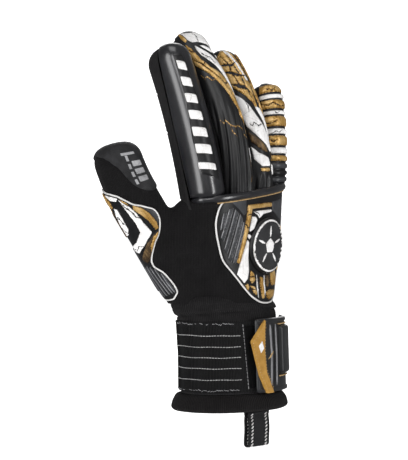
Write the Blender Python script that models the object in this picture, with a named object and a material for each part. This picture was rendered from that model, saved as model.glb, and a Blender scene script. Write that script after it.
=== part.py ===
"""A right-hand goalkeeper glove, standing fingers up in its open rest shape.

Metres, +Z towards the fingertips, -Y the back of the hand, +Y the palm, -X the thumb side.
The origin is the centre of the wrist opening, in the plane of the hem's lower edge.
"""

import math

import bmesh
import bpy
from mathutils import Vector

MM = 0.001

# Gaps between pieces that touch, and between two segments of a digit
TOUCH_GAP = 0.3 * MM
JOINT_GAP = 3.0 * MM

# Heights of the cuff, from the hem's lower edge upwards
HEM_TOP = 12.4 * MM
BANDAGE_BOTTOM = 14.6 * MM
BANDAGE_TOP = 64.4 * MM
WRIST_BAND_TOP = 80.0 * MM
STRAP_BOTTOM = 12.8 * MM
STRAP_TOP = 66.6 * MM

# The hand, from the wrist band to its upper edge, which rises towards the little finger
HAND_BOTTOM = 81.0 * MM
HAND_TOP = 151.0 * MM
HAND_TOP_SLOPE = 0.11
HAND_POWER = 2.2
PALM_THICKNESS = 4.0 * MM
KNIT_THICKNESS = 2.4 * MM
LINING_THICKNESS = 1.2 * MM
PANEL_THICKNESS = 2.6 * MM
PANEL_INSET = 2.9 * MM

# Wall of a digit: foam or panel outside, lining sleeve inside
DIGIT_POWER = 2.6
DIGIT_WALL = 2.6 * MM
SLEEVE_WALL = 1.0 * MM
TIP_DOME = 13.0 * MM
HINGE_OUTSIDE = 0.5 * MM
# A finger's sections turn from the hand's edge to square with the finger over this length
ROOT_ZONE = 20.0 * MM

# Cross-sections: height, centre x, centre y, half width, half depth
CUFF_SECTIONS = [
    (0.0, 0.0, 0.0, 46.4, 35.0),
    (3.0, 0.0, 0.0, 47.3, 35.8),
    (8.0, 0.0, 0.0, 47.0, 35.5),
    (12.4, -0.3, 0.2, 43.8, 33.0),
    (14.6, -0.4, 0.4, 41.4, 31.4),
    (40.0, -0.8, 0.8, 41.0, 31.0),
    (64.4, -1.6, 1.6, 41.4, 31.6),
    (80.0, -2.0, 3.0, 42.4, 31.4),
]
HAND_SECTIONS = [
    (80.0, -2.0, 3.0, 42.4, 31.4),
    (90.0, -1.0, 2.0, 44.5, 28.4),
    (110.0, 0.0, 0.0, 47.2, 26.0),
    (130.0, -1.0, -4.0, 47.2, 23.4),
    (151.0, -2.0, -8.0, 46.4, 21.0),
]

# Digits: root x and y, splay, lean at root and at tip in degrees, length, half width and half
# depth at the root, the same at the tip, and the middle joint as a share of the length
FINGERS = {
    "index": (-37.0, -6.6, -2.0, 10.0, 23.5, 117.0, 13.4, 16.6, 13.4, 15.6, 0.46),
    "middle": (-11.0, -12.0, -1.5, 2.0, 44.0, 126.5, 11.1, 16.0, 11.5, 15.6, 0.46),
    "ring": (12.6, -10.5, 1.0, 0.0, 42.0, 109.5, 10.7, 15.4, 11.1, 14.6, 0.46),
    "little": (35.2, -5.5, 4.0, -3.0, 14.0, 81.0, 10.2, 13.4, 10.6, 12.4, 0.45),
}
# The strap's first and last of the cuff's angle steps, and the pull tab's outline in x and z
STRAP_FIRST = 2
STRAP_LAST = 9
TAB_OUTLINE = [(-5.0, 66.6), (-22.0, 50.8), (-18.0, 34.0), (-4.5, 12.8), (2.0, 12.8), (2.0, 66.6)]

# The backhand panel's outline and the badge's centre and radius, in x and z
BACKHAND_OUTLINE = [
    (-40.0, 139.0),
    (-37.0, 128.0),
    (-31.0, 108.0),
    (-19.5, 95.0),
    (-11.5, 86.0),
    (3.0, 83.5),
    (24.0, 84.5),
    (34.0, 92.0),
    (41.0, 108.0),
    (43.0, 126.0),
    (43.0, 146.0),
    (24.0, 144.5),
    (-18.0, 140.5),
    (-36.0, 139.5),
]
BADGE = (11.5, 117.5, 21.0)

THUMB_ROOT = Vector((-35.0, 11.2, 89.0)) * MM
THUMB_KNUCKLE = Vector((-69.0, 27.6, 149.0)) * MM
THUMB_TIP_DIRECTION = Vector((-0.25, 0.15, 0.95))
THUMB_BACK = Vector((-0.766, -0.643, 0.0))
THUMB_LENGTH = 45.0 * MM
THUMB_HALF_WIDTH = (17.4 * MM, 16.6 * MM)
THUMB_HALF_DEPTH = (16.4 * MM, 15.0 * MM)
THUMB_MIDDLE_JOINT = 0.44
# The tube of the thumb's root is a little wider where it leaves the hand
THUMB_BASE_HALF_WIDTH = 17.6 * MM
THUMB_BASE_HALF_DEPTH = 17.0 * MM
THUMB_BASE_WALL = 3.2 * MM
# The patch on the back of the thumb's root: its share of the root's length, and its faces
THUMB_PATCH_SHARES = (0.44, 0.96)
THUMB_PATCH_HEIGHT = 2.6 * MM

# Insets of the hand's two skins, and the badge's and the knuckle bar's heights over the surface
PALM_INSET = 0.6 * MM
LINING_INSET = PANEL_INSET + KNIT_THICKNESS + 0.6 * MM
BADGE_HEIGHT = 2.4 * MM
KNUCKLE_BAR_HEIGHT = 1.0 * MM
KNUCKLE_BAR_LEVELS = (144.2, 145.4, 148.6, 150.0)

# The hem's section once round: height and inset from the cuff's surface
HEM_PROFILE = [
    (0.0, 2.4),
    (0.0, 6.2),
    (4.0, 8.0),
    (12.4, 8.0),
    (12.4, 2.0),
    (8.0, 0.0),
    (3.0, 0.0),
]

# Insets of the cuff's layers from its surface; a negative one stands proud
CUFF_MIDDLE = 40.0 * MM
BANDAGE_INSET = 0.6 * MM
CUFF_LINING_INSET = 3.4 * MM
CUFF_LINING_WALL = 1.4 * MM
WRIST_BAND_MIDDLE = 72.0 * MM
WRIST_BAND_INSET = 2.0 * MM
WRIST_BAND_WALL = 2.4 * MM
LOOP_PAD_INSET = -0.8 * MM
LOOP_PAD_LEVELS = (18.0, 40.0, 61.0)
STRAP_ANCHOR_INSET = -1.6 * MM
UNDER_PADS_INSET = 0.3 * MM

# The strap's layers: outer and inner inset, and the pad's levels
STRAP_LIP = 4.0 * MM
STRAP_PIVOT_INSET = -2.0 * MM
STRAP_HOOK_INSETS = (-2.2, -1.1)
STRAP_INSETS = (-5.0, -2.5)
STRAP_PAD_INSETS = (-7.6, -5.3)
STRAP_PAD_LEVELS = (25.0, 40.0, 60.0)
PULL_TAB_INSETS = (-7.2, -5.3)

# The pull loop: folded webbing, hanging under the hem
LOOP_WIDTH = 24.0 * MM
LOOP_CENTRE_X = 5.5 * MM
LOOP_Y = -20.6 * MM
LOOP_BOTTOM = -26.6 * MM
LOOP_HALF_GAP = 3.6 * MM
LOOP_STRAIGHT_TOP = -6.0 * MM
LOOP_TOP = -1.0 * MM
LOOP_SHOULDER_OUTSIDE = 2.2 * MM
LOOP_SHOULDER_INSIDE = 0.8 * MM
WEBBING = 1.6 * MM
LOOP_ANCHOR_SIZE = (LOOP_WIDTH, 4.0 * MM, 9.0 * MM)
LOOP_ANCHOR_HEIGHT = 6.5 * MM

# How far in front of and behind the back of the hand an outline's prism reaches
PRISM_NEAR_Y = -60.0 * MM
PRISM_FAR_Y = -5.0 * MM

# Angles round a section: 0 is the little-finger side, 90 the back of the hand
BACK_PANEL_ANGLES = (18.0, 162.0)
LATEX_ANGLES = (164.0, 376.0)
BACK_STEPS = 6
LATEX_STEPS = 8


def spread(start, end, steps):
    """Evenly spaced values from start to end, both included."""
    return [start + (end - start) * i / steps for i in range(steps + 1)]


def ring_angles(steps):
    """Angles once round a section, without repeating the first."""
    return [360.0 * i / steps for i in range(steps)]


HAND_LEVELS = [HAND_BOTTOM, 92 * MM, 110 * MM, 130 * MM, HAND_TOP]
KNIT_ANGLES = spread(-14.0, 194.0, 16)
PALM_ANGLES = spread(196.0, 344.0, 10)
HAND_CUTTER_STEPS = 28
HAND_LINING_STEPS = 24
CUFF_STEPS = 32
THUMB_STEPS = 16


def material(name, colour, roughness, metallic=0.0):
    """A Principled material with one colour."""
    found = bpy.data.materials.new(name)
    found.use_nodes = True
    shader = found.node_tree.nodes["Principled BSDF"]
    shader.inputs["Base Color"].default_value = (*colour, 1.0)
    shader.inputs["Roughness"].default_value = roughness
    shader.inputs["Metallic"].default_value = metallic
    return found


def add_object(name, mesh, finish, pivot=None, smooth_angle=40.0):
    """A named object from a bmesh, with its origin on the given pivot."""
    bmesh.ops.remove_doubles(mesh, verts=mesh.verts, dist=1e-6)
    bmesh.ops.recalc_face_normals(mesh, faces=mesh.faces)
    if pivot is not None:
        bmesh.ops.translate(mesh, verts=mesh.verts, vec=-pivot)
    data = bpy.data.meshes.new(name)
    mesh.to_mesh(data)
    mesh.free()
    data.shade_smooth()
    data.set_sharp_from_angle(angle=math.radians(smooth_angle))
    data.materials.append(finish)
    made = bpy.data.objects.new(name, data)
    if pivot is not None:
        made.location = pivot
    bpy.context.scene.collection.objects.link(made)
    return made


def signed_power(value, power):
    """The value raised to a power, keeping its sign."""
    return math.copysign(abs(value) ** power, value)


def section_point(half_width, half_depth, power, degrees):
    """A point on a superellipse, as its offsets to the side and to the back."""
    angle = math.radians(degrees)
    side = half_width * signed_power(math.cos(angle), 2.0 / power)
    back = half_depth * signed_power(math.sin(angle), 2.0 / power)
    return side, back


def blend_sections(sections, height):
    """The centre and half sizes of a stack of sections at a height, all in metres."""
    rows = [[value * MM for value in row] for row in sections]
    if height <= rows[0][0]:
        return rows[0][1:]
    for low, high in zip(rows, rows[1:]):
        if height <= high[0]:
            share = (height - low[0]) / (high[0] - low[0])
            return [a + (b - a) * share for a, b in zip(low[1:], high[1:])]
    return rows[-1][1:]


def cuff_surface(degrees, height, inset):
    """A point on the cuff's outer surface, moved in by an inset."""
    centre_x, centre_y, half_width, half_depth = blend_sections(CUFF_SECTIONS, height)
    side, back = section_point(half_width - inset, half_depth - inset, HAND_POWER, degrees)
    return Vector((centre_x + side, centre_y - back, height))


def bandage_surface(degrees, height, inset):
    """As cuff_surface, but carried straight on above and below the bandage."""
    point = cuff_surface(degrees, min(max(height, BANDAGE_BOTTOM), BANDAGE_TOP), inset)
    point.z = height
    return point


def raised(x, height):
    """A height on the hand, sheared so that the upper edge rises towards the little finger."""
    share = max(0.0, (height - HAND_BOTTOM) / (HAND_TOP - HAND_BOTTOM))
    return height + HAND_TOP_SLOPE * x * share


def hand_surface(degrees, height, inset):
    """A point on the hand's outer surface, moved in by an inset."""
    centre_x, centre_y, half_width, half_depth = blend_sections(HAND_SECTIONS, height)
    side, back = section_point(half_width - inset, half_depth - inset, HAND_POWER, degrees)
    x = centre_x + side
    return Vector((x, centre_y - back, raised(x, height)))


class Digit:
    """The outer surface of a finger or thumb: a tube of steady bend, with a domed tip or open."""

    STEPS = 60

    def __init__(
        self, root, first, last, back, length, half_width, half_depth, dome=None, root_plane=None
    ):
        self.length = length
        self.half_width = half_width
        self.half_depth = half_depth
        self.dome = dome
        self.points = [root.copy()]
        self.directions = [first.normalized()]
        for step in range(self.STEPS):
            share = (step + 0.5) / self.STEPS
            heading = first.normalized().lerp(last.normalized(), share).normalized()
            self.points.append(self.points[-1] + heading * (length / self.STEPS))
            self.directions.append(heading)
        self.back_hint = back
        self.root_plane = root_plane

    def frame(self, along):
        """The centre and the section's side and back directions at a distance along the digit."""
        place = min(max(along / self.length, 0.0), 1.0) * self.STEPS
        index = min(int(place), self.STEPS - 1)
        centre = self.points[index].lerp(self.points[index + 1], place - index)
        forward = self.directions[index].lerp(self.directions[index + 1], place - index)
        forward.normalize()
        side = forward.cross(self.back_hint).normalized()
        back = side.cross(forward).normalized()
        if self.root_plane:
            ease = min(1.0, max(0.0, along / ROOT_ZONE))
            side = self.root_plane[0].lerp(side, ease)
            back = self.root_plane[1].lerp(back, ease)
        return centre, side, back

    def surface(self, degrees, share, inset):
        """A point on the surface at a share of the length, moved in by an inset."""
        along = share * (self.length - inset if self.dome else self.length)
        width = self.half_width[0] + (self.half_width[1] - self.half_width[0]) * share - inset
        depth = self.half_depth[0] + (self.half_depth[1] - self.half_depth[0]) * share - inset
        squeeze = 1.0
        if self.dome:
            into_dome = max(0.0, (along - (self.length - self.dome)) / (self.dome - inset))
            squeeze = max(0.0, 1.0 - min(1.0, into_dome) ** 2.4) ** (1.0 / 2.4)
        side_by, back_by = section_point(width * squeeze, depth * squeeze, DIGIT_POWER, degrees)
        centre, side, back = self.frame(along)
        return centre + side * side_by + back * back_by

    def palm_axis(self, share):
        """A point on the gripping side of the digit, just outside it, and the side direction."""
        centre, side, back = self.frame(share * self.length)
        depth = self.half_depth[0] + (self.half_depth[1] - self.half_depth[0]) * share
        return centre - back * (depth + HINGE_OUTSIDE), side


def shell_mesh(surface, angles, levels, outer, inner, closed_ring, closed_end):
    """A curved wall between two insets of a surface, as one closed body."""
    mesh = bmesh.new()
    grids = []
    for inset in (outer, inner):
        grids.append([[mesh.verts.new(surface(a, v, inset)) for a in angles] for v in levels])
    columns = len(angles) if closed_ring else len(angles) - 1
    for grid in grids:
        for low, high in zip(grid, grid[1:]):
            for i in range(columns):
                j = (i + 1) % len(angles)
                mesh.faces.new((low[i], low[j], high[j], high[i]))
    rims = [0] if closed_end else [0, -1]
    for rim in rims:
        for i in range(columns):
            j = (i + 1) % len(angles)
            out_row, in_row = grids[0][rim], grids[1][rim]
            mesh.faces.new((out_row[i], out_row[j], in_row[j], in_row[i]))
    if not closed_ring:
        for edge in (0, -1):
            for k in range(len(levels) - 1):
                corners = (
                    grids[0][k][edge],
                    grids[0][k + 1][edge],
                    grids[1][k + 1][edge],
                    grids[1][k][edge],
                )
                if len({tuple(vertex.co) for vertex in corners}) > 2:
                    mesh.faces.new(corners)
    return mesh


def solid_mesh(surface, angles, levels, inset):
    """A solid filled inside a surface, flat at both ends, for cutting."""
    mesh = bmesh.new()
    rows = [[mesh.verts.new(surface(a, v, inset)) for a in angles] for v in levels]
    for low, high in zip(rows, rows[1:]):
        for i in range(len(angles)):
            j = (i + 1) % len(angles)
            mesh.faces.new((low[i], low[j], high[j], high[i]))
    mesh.faces.new(rows[0])
    mesh.faces.new(rows[-1])
    return mesh


def cut(target, cutter, operation="DIFFERENCE"):
    """Takes the cutter's volume out of the target, or keeps only what is inside it."""
    step = target.modifiers.new("cut_" + cutter.name, "BOOLEAN")
    step.operation = operation
    step.solver = "EXACT"
    step.object = cutter
    cutter.hide_render = True
    cutter.display_type = "WIRE"


def prism_mesh(outline):
    """An outline in the XZ plane, drawn out along Y through the back of the hand."""
    mesh = bmesh.new()
    ends = [[mesh.verts.new((x, y, z)) for x, z in outline] for y in (PRISM_NEAR_Y, PRISM_FAR_Y)]
    for end in ends:
        mesh.faces.new(end)
    for i in range(len(outline)):
        j = (i + 1) % len(outline)
        mesh.faces.new((ends[0][i], ends[0][j], ends[1][j], ends[1][i]))
    return mesh


# ---------------------------------------------------------------- digits


def make_digit(name, digit, middle_joint, finishes):
    """Root and tip segments of a digit, each of a back panel, latex foam and a lining sleeve."""
    half_gap = 0.5 * JOINT_GAP / digit.length
    dome_start = 1.0 - digit.dome / digit.length
    root_levels = spread(0.0, middle_joint - half_gap, 3)
    tip_levels = [middle_joint + half_gap, (middle_joint + dome_start) / 2.0, dome_start]
    tip_levels += [dome_start + (1.0 - dome_start) * part for part in (0.6, 0.9, 1.0)]
    back_angles = spread(*BACK_PANEL_ANGLES, BACK_STEPS)
    latex_angles = spread(*LATEX_ANGLES, LATEX_STEPS)
    sleeve_outer = DIGIT_WALL + TOUCH_GAP
    for part, levels, closed, share in (
        ("root", root_levels, False, 0.0),
        ("tip", tip_levels, True, middle_joint),
    ):
        pivot, _ = digit.palm_axis(share)
        pieces = (
            ("back", back_angles, 0.0, DIGIT_WALL, False),
            ("latex", latex_angles, 0.0, DIGIT_WALL, False),
            ("sleeve", back_angles + latex_angles, sleeve_outer, sleeve_outer + SLEEVE_WALL, True),
        )
        for piece, angles, outer, inner, ring in pieces:
            mesh = shell_mesh(digit.surface, angles, levels, outer, inner, ring, closed)
            add_object(f"{name}_{part}_{piece}", mesh, finishes[piece], pivot)


def finger_digit(row):
    """A finger's surface from its row of driving dimensions."""
    x, y, splay, lean_root, lean_tip, length, width, depth, tip_width, tip_depth, _ = row
    headings = []
    for lean in (lean_root, lean_tip):
        tilt = math.radians(lean)
        side = math.radians(splay)
        forward = Vector((math.sin(side), math.sin(tilt), math.cos(tilt)))
        headings.append(forward)
    root = Vector((x * MM, y * MM, raised(x * MM, HAND_TOP) + JOINT_GAP))
    return Digit(
        root,
        headings[0],
        headings[1],
        Vector((0.0, -1.0, 0.0)),
        length * MM,
        (width * MM, tip_width * MM),
        (depth * MM, tip_depth * MM),
        TIP_DOME,
        (Vector((1.0, 0.0, HAND_TOP_SLOPE)), Vector((0.0, -1.0, 0.0))),
    )


def thumb_digit():
    """The free part of the thumb, from its knuckle to its tip."""
    first = (THUMB_KNUCKLE - THUMB_ROOT).normalized()
    root = THUMB_KNUCKLE + first * JOINT_GAP
    return Digit(
        root,
        first,
        THUMB_TIP_DIRECTION,
        THUMB_BACK,
        THUMB_LENGTH,
        THUMB_HALF_WIDTH,
        THUMB_HALF_DEPTH,
        TIP_DOME,
    )


def thumb_root_digit():
    """The thumb's root, a straight tube from inside the hand to the thumb's knuckle."""
    reach = THUMB_KNUCKLE - THUMB_ROOT
    width = (THUMB_BASE_HALF_WIDTH, THUMB_HALF_WIDTH[0])
    depth = (THUMB_BASE_HALF_DEPTH, THUMB_HALF_DEPTH[0])
    return Digit(THUMB_ROOT, reach, reach, THUMB_BACK, reach.length, width, depth)


# ---------------------------------------------------------------- hand


def make_hand(finishes):
    """Palm foam, knit back, lining and the thumb's root."""
    layers = (
        ("knit_back", "knit_back", KNIT_ANGLES, PANEL_INSET, KNIT_THICKNESS, False),
        ("palm_latex", "palm_latex", PALM_ANGLES, PALM_INSET, PALM_THICKNESS, False),
        (
            "hand_lining",
            "sleeve",
            ring_angles(HAND_LINING_STEPS),
            LINING_INSET,
            LINING_THICKNESS,
            True,
        ),
    )
    made = []
    for name, finish, angles, outer, wall, ring in layers:
        mesh = shell_mesh(hand_surface, angles, HAND_LEVELS, outer, outer + wall, ring, False)
        made.append(add_object(name, mesh, finishes[finish]))

    thumb = thumb_root_digit()
    around = ring_angles(THUMB_STEPS)
    mesh = shell_mesh(
        thumb.surface, around, spread(0.0, 0.995, 4), 0.0, THUMB_BASE_WALL, True, False
    )
    thumb_base = add_object("thumb_base", mesh, finishes["knit_back"])
    levels = [70 * MM, *HAND_LEVELS, 160 * MM]
    mesh = solid_mesh(hand_surface, ring_angles(HAND_CUTTER_STEPS), levels, -TOUCH_GAP)
    cut(thumb_base, add_object("hand_outside_cutter", mesh, finishes["sleeve"]))
    mesh = solid_mesh(thumb.surface, around, spread(0.12, 0.99, 4), THUMB_BASE_WALL)
    bore = add_object("thumb_bore_cutter", mesh, finishes["sleeve"])
    for piece in made:
        cut(piece, bore)
    return thumb


def make_backhand(finishes):
    """Embossed panel, badge and knuckle bar on the back of the hand."""
    inner = PANEL_INSET - TOUCH_GAP
    outer = inner - PANEL_THICKNESS
    outline = [(x * MM, z * MM) for x, z in BACKHAND_OUTLINE]
    layers = (
        ("backhand_panel", outer, inner, outline, "panel"),
        ("backhand_badge", outer - BADGE_HEIGHT, outer - TOUCH_GAP, badge_outline(), "badge"),
    )
    for name, top, bottom, shape, finish in layers:
        mesh = shell_mesh(hand_surface, KNIT_ANGLES, HAND_LEVELS, top, bottom, False, False)
        piece = add_object(name, mesh, finishes[finish])
        prism = add_object(name + "_outline", prism_mesh(shape), finishes[finish])
        cut(piece, prism, "INTERSECT")

    levels = [height * MM for height in KNUCKLE_BAR_LEVELS]
    bar = shell_mesh(
        hand_surface, KNIT_ANGLES[1:-1], levels, -KNUCKLE_BAR_HEIGHT, inner, False, False
    )
    add_object("knuckle_bar", bar, finishes["panel"])


def badge_outline():
    """The badge's circle."""
    centre_x, centre_z, radius = [value * MM for value in BADGE]
    angles = [math.radians(a) for a in ring_angles(24)]
    return [(centre_x + radius * math.cos(a), centre_z + radius * math.sin(a)) for a in angles]


def make_thumb_patch(thumb, finishes):
    """The printed moulded patch along the back of the thumb's root."""
    mesh = shell_mesh(
        thumb.surface,
        ring_angles(THUMB_STEPS)[3:10],
        spread(*THUMB_PATCH_SHARES, 4),
        -THUMB_PATCH_HEIGHT,
        -TOUCH_GAP,
        False,
        False,
    )
    patch = add_object("thumb_patch", mesh, finishes["print"])
    levels = [60 * MM, *HAND_LEVELS, 160 * MM]
    mesh = solid_mesh(hand_surface, ring_angles(HAND_CUTTER_STEPS), levels, -2.0 * TOUCH_GAP)
    cut(patch, add_object("hand_clearance_cutter", mesh, finishes["sleeve"]))


# ---------------------------------------------------------------- cuff


def make_cuff(finishes):
    """Hem, lining, elastic bandage, knit band, fastener patch and the strap's sewn edge."""
    around = ring_angles(CUFF_STEPS)
    mesh = bmesh.new()
    rows = [
        [mesh.verts.new(cuff_surface(a, height * MM, inset * MM)) for a in around]
        for height, inset in HEM_PROFILE
    ]
    for k, row in enumerate(rows):
        following = rows[(k + 1) % len(rows)]
        for i in range(len(around)):
            j = (i + 1) % len(around)
            mesh.faces.new((row[i], row[j], following[j], following[i]))
    add_object("hem", mesh, finishes["hem"])

    lining_levels = [HEM_TOP + TOUCH_GAP, CUFF_MIDDLE, BANDAGE_TOP]
    bandage_levels = [BANDAGE_BOTTOM, CUFF_MIDDLE, BANDAGE_TOP]
    band_levels = [BANDAGE_TOP + TOUCH_GAP, WRIST_BAND_MIDDLE, WRIST_BAND_TOP]
    pad_levels = [height * MM for height in LOOP_PAD_LEVELS]
    anchor_levels = [STRAP_BOTTOM, BANDAGE_BOTTOM, CUFF_MIDDLE, BANDAGE_TOP, STRAP_TOP]
    anchor_angles = [*around[:STRAP_FIRST], around[STRAP_FIRST] - 1.0]
    lining_inside = CUFF_LINING_INSET + CUFF_LINING_WALL
    bandage_inside = CUFF_LINING_INSET - TOUCH_GAP
    band_inside = WRIST_BAND_INSET + WRIST_BAND_WALL
    lining = (CUFF_LINING_INSET, lining_inside)
    bandage = (BANDAGE_INSET, bandage_inside)
    band = (WRIST_BAND_INSET, band_inside)
    pad = (LOOP_PAD_INSET, UNDER_PADS_INSET)
    anchor = (STRAP_ANCHOR_INSET, UNDER_PADS_INSET)
    pieces = (
        ("cuff_lining", "sleeve", bandage_surface, around, lining_levels, lining),
        ("elastic_bandage", "bandage", bandage_surface, around, bandage_levels, bandage),
        ("wrist_band", "knit_back", cuff_surface, around, band_levels, band),
        ("loop_pad", "sleeve", bandage_surface, around[3:12], pad_levels, pad),
        ("strap_anchor", "strap", bandage_surface, anchor_angles, anchor_levels, anchor),
    )
    for name, finish, surface, angles, levels, (outer, inner) in pieces:
        ring = angles is around
        mesh = shell_mesh(surface, angles, levels, outer, inner, ring, False)
        add_object(name, mesh, finishes[finish])


def make_strap(finishes):
    """The closing strap with its hook strip, raised pad and pull tab, on the strap's sewn edge."""
    around = ring_angles(CUFF_STEPS)
    pivot = bandage_surface(around[STRAP_FIRST], CUFF_MIDDLE, STRAP_PIVOT_INSET)
    levels = [STRAP_BOTTOM, STRAP_BOTTOM + STRAP_LIP, CUFF_MIDDLE, STRAP_TOP - STRAP_LIP, STRAP_TOP]
    pad_levels = [height * MM for height in STRAP_PAD_LEVELS]
    pieces = (
        ("strap_hook", around[3:STRAP_LAST], levels[1:4], STRAP_HOOK_INSETS, "sleeve"),
        ("strap", around[STRAP_FIRST : STRAP_LAST + 1], levels, STRAP_INSETS, "strap"),
        ("strap_pad", around[4:8], pad_levels, STRAP_PAD_INSETS, "panel"),
        ("pull_tab", around[7:11], levels, PULL_TAB_INSETS, "gold"),
    )
    made = {}
    for name, angles, heights, insets, finish in pieces:
        outer, inner = insets[0] * MM, insets[1] * MM
        mesh = shell_mesh(bandage_surface, angles, heights, outer, inner, False, False)
        made[name] = add_object(name, mesh, finishes[finish], pivot)
    outline = [(x * MM, z * MM) for x, z in TAB_OUTLINE]
    prism = add_object("pull_tab_outline", prism_mesh(outline), finishes["gold"])
    cut(made["pull_tab"], prism, "INTERSECT")


def loop_profile(radius, shoulder, top):
    """One face of the folded webbing in the YZ plane: down, round the fold and up to its shoulders."""
    fold_height = LOOP_BOTTOM + LOOP_HALF_GAP + WEBBING
    profile = [(LOOP_Y - radius, LOOP_STRAIGHT_TOP)]
    for degrees in spread(180.0, 360.0, 8):
        angle = math.radians(degrees)
        profile.append((LOOP_Y + radius * math.cos(angle), fold_height + radius * math.sin(angle)))
    profile.append((LOOP_Y + radius, LOOP_STRAIGHT_TOP))
    profile += [(LOOP_Y + shoulder, top), (LOOP_Y - shoulder, top)]
    return profile


def make_pull_loop(finishes):
    """A strip of webbing folded to a loop, and its ends sewn together inside the hem."""
    profiles = (
        loop_profile(LOOP_HALF_GAP + WEBBING, LOOP_SHOULDER_OUTSIDE, LOOP_TOP),
        loop_profile(LOOP_HALF_GAP, LOOP_SHOULDER_INSIDE, LOOP_TOP - WEBBING),
    )
    mesh = bmesh.new()
    sides = []
    for x in (LOOP_CENTRE_X - LOOP_WIDTH / 2, LOOP_CENTRE_X + LOOP_WIDTH / 2):
        sides.append([[mesh.verts.new((x, y, z)) for y, z in profile] for profile in profiles])
    count = len(profiles[0])
    for i in range(count):
        j = (i + 1) % count
        for side in sides:
            mesh.faces.new((side[0][i], side[0][j], side[1][j], side[1][i]))
        for k in (0, 1):
            mesh.faces.new((sides[0][k][i], sides[0][k][j], sides[1][k][j], sides[1][k][i]))
    add_object("pull_loop", mesh, finishes["webbing"], Vector((LOOP_CENTRE_X, LOOP_Y, 0.0)))

    mesh = bmesh.new()
    bmesh.ops.create_cube(mesh, size=1.0)
    bmesh.ops.scale(mesh, vec=LOOP_ANCHOR_SIZE, verts=mesh.verts)
    place = (LOOP_CENTRE_X, LOOP_Y, LOOP_ANCHOR_HEIGHT)
    bmesh.ops.translate(mesh, vec=place, verts=mesh.verts)
    add_object("loop_anchor", mesh, finishes["webbing"])


def clear_scene():
    """Removes every object, so that only the glove is left."""
    for thing in list(bpy.data.objects):
        bpy.data.objects.remove(thing, do_unlink=True)


def main():
    clear_scene()
    finishes = {
        "back": material("back_panel", (0.012, 0.012, 0.014), 0.34),
        "latex": material("latex", (0.014, 0.014, 0.015), 0.72),
        "sleeve": material("lining", (0.03, 0.03, 0.032), 0.9),
        "knit_back": material("knit", (0.011, 0.011, 0.012), 0.88),
        "palm_latex": material("palm_foam", (0.05, 0.05, 0.052), 0.8),
        "panel": material("moulded_panel", (0.014, 0.014, 0.016), 0.4),
        "badge": material("badge", (0.035, 0.035, 0.037), 0.36),
        "print": material("printed_patch", (0.42, 0.27, 0.09), 0.5),
        "gold": material("gold_tab", (0.45, 0.27, 0.07), 0.42),
        "hem": material("hem_binding", (0.012, 0.011, 0.012), 0.8),
        "bandage": material("elastic_bandage", (0.013, 0.013, 0.014), 0.82),
        "strap": material("strap_latex", (0.045, 0.045, 0.047), 0.45),
        "webbing": material("webbing", (0.02, 0.02, 0.022), 0.85),
    }
    for name, row in FINGERS.items():
        make_digit(name, finger_digit(row), row[-1], finishes)
    make_digit("thumb", thumb_digit(), THUMB_MIDDLE_JOINT, finishes)
    thumb = make_hand(finishes)
    make_thumb_patch(thumb, finishes)
    make_backhand(finishes)
    make_cuff(finishes)
    make_strap(finishes)
    make_pull_loop(finishes)


main()
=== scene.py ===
"""The looks of a right-hand goalkeeper glove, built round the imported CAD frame.

Metres, in the frame's axes: +Z towards the fingertips, -Y the back of the hand, -X the thumb side.
Outlines of printed and moulded shapes are in millimetres on the surface that carries them.
"""

import math
import random

import bmesh
import bpy
import numpy as np
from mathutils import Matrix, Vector
from mathutils.bvhtree import BVHTree
from mathutils.geometry import delaunay_2d_cdt


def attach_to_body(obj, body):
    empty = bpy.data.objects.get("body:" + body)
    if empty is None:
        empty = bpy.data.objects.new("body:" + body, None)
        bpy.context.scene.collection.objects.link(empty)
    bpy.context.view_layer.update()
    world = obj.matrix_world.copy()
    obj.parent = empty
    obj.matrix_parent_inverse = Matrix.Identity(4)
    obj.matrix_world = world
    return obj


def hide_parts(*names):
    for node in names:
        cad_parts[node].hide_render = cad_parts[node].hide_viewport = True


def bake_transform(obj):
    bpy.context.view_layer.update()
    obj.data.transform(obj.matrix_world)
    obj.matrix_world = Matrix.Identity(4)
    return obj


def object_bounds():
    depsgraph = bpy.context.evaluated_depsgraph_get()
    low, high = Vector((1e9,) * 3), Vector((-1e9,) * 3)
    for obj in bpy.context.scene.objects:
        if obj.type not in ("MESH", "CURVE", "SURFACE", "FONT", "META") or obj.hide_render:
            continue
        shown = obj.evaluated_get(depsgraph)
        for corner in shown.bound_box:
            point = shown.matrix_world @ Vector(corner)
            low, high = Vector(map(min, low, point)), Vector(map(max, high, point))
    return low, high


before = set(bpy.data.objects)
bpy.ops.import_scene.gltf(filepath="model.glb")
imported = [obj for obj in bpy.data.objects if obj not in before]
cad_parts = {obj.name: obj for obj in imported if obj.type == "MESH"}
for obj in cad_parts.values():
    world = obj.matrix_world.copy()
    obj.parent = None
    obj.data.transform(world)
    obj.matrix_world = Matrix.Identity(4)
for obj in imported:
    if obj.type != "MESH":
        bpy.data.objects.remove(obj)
CAD_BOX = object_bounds()

MM = 0.001

# ---------------------------------------------------------------- the glove's driving dimensions

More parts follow.
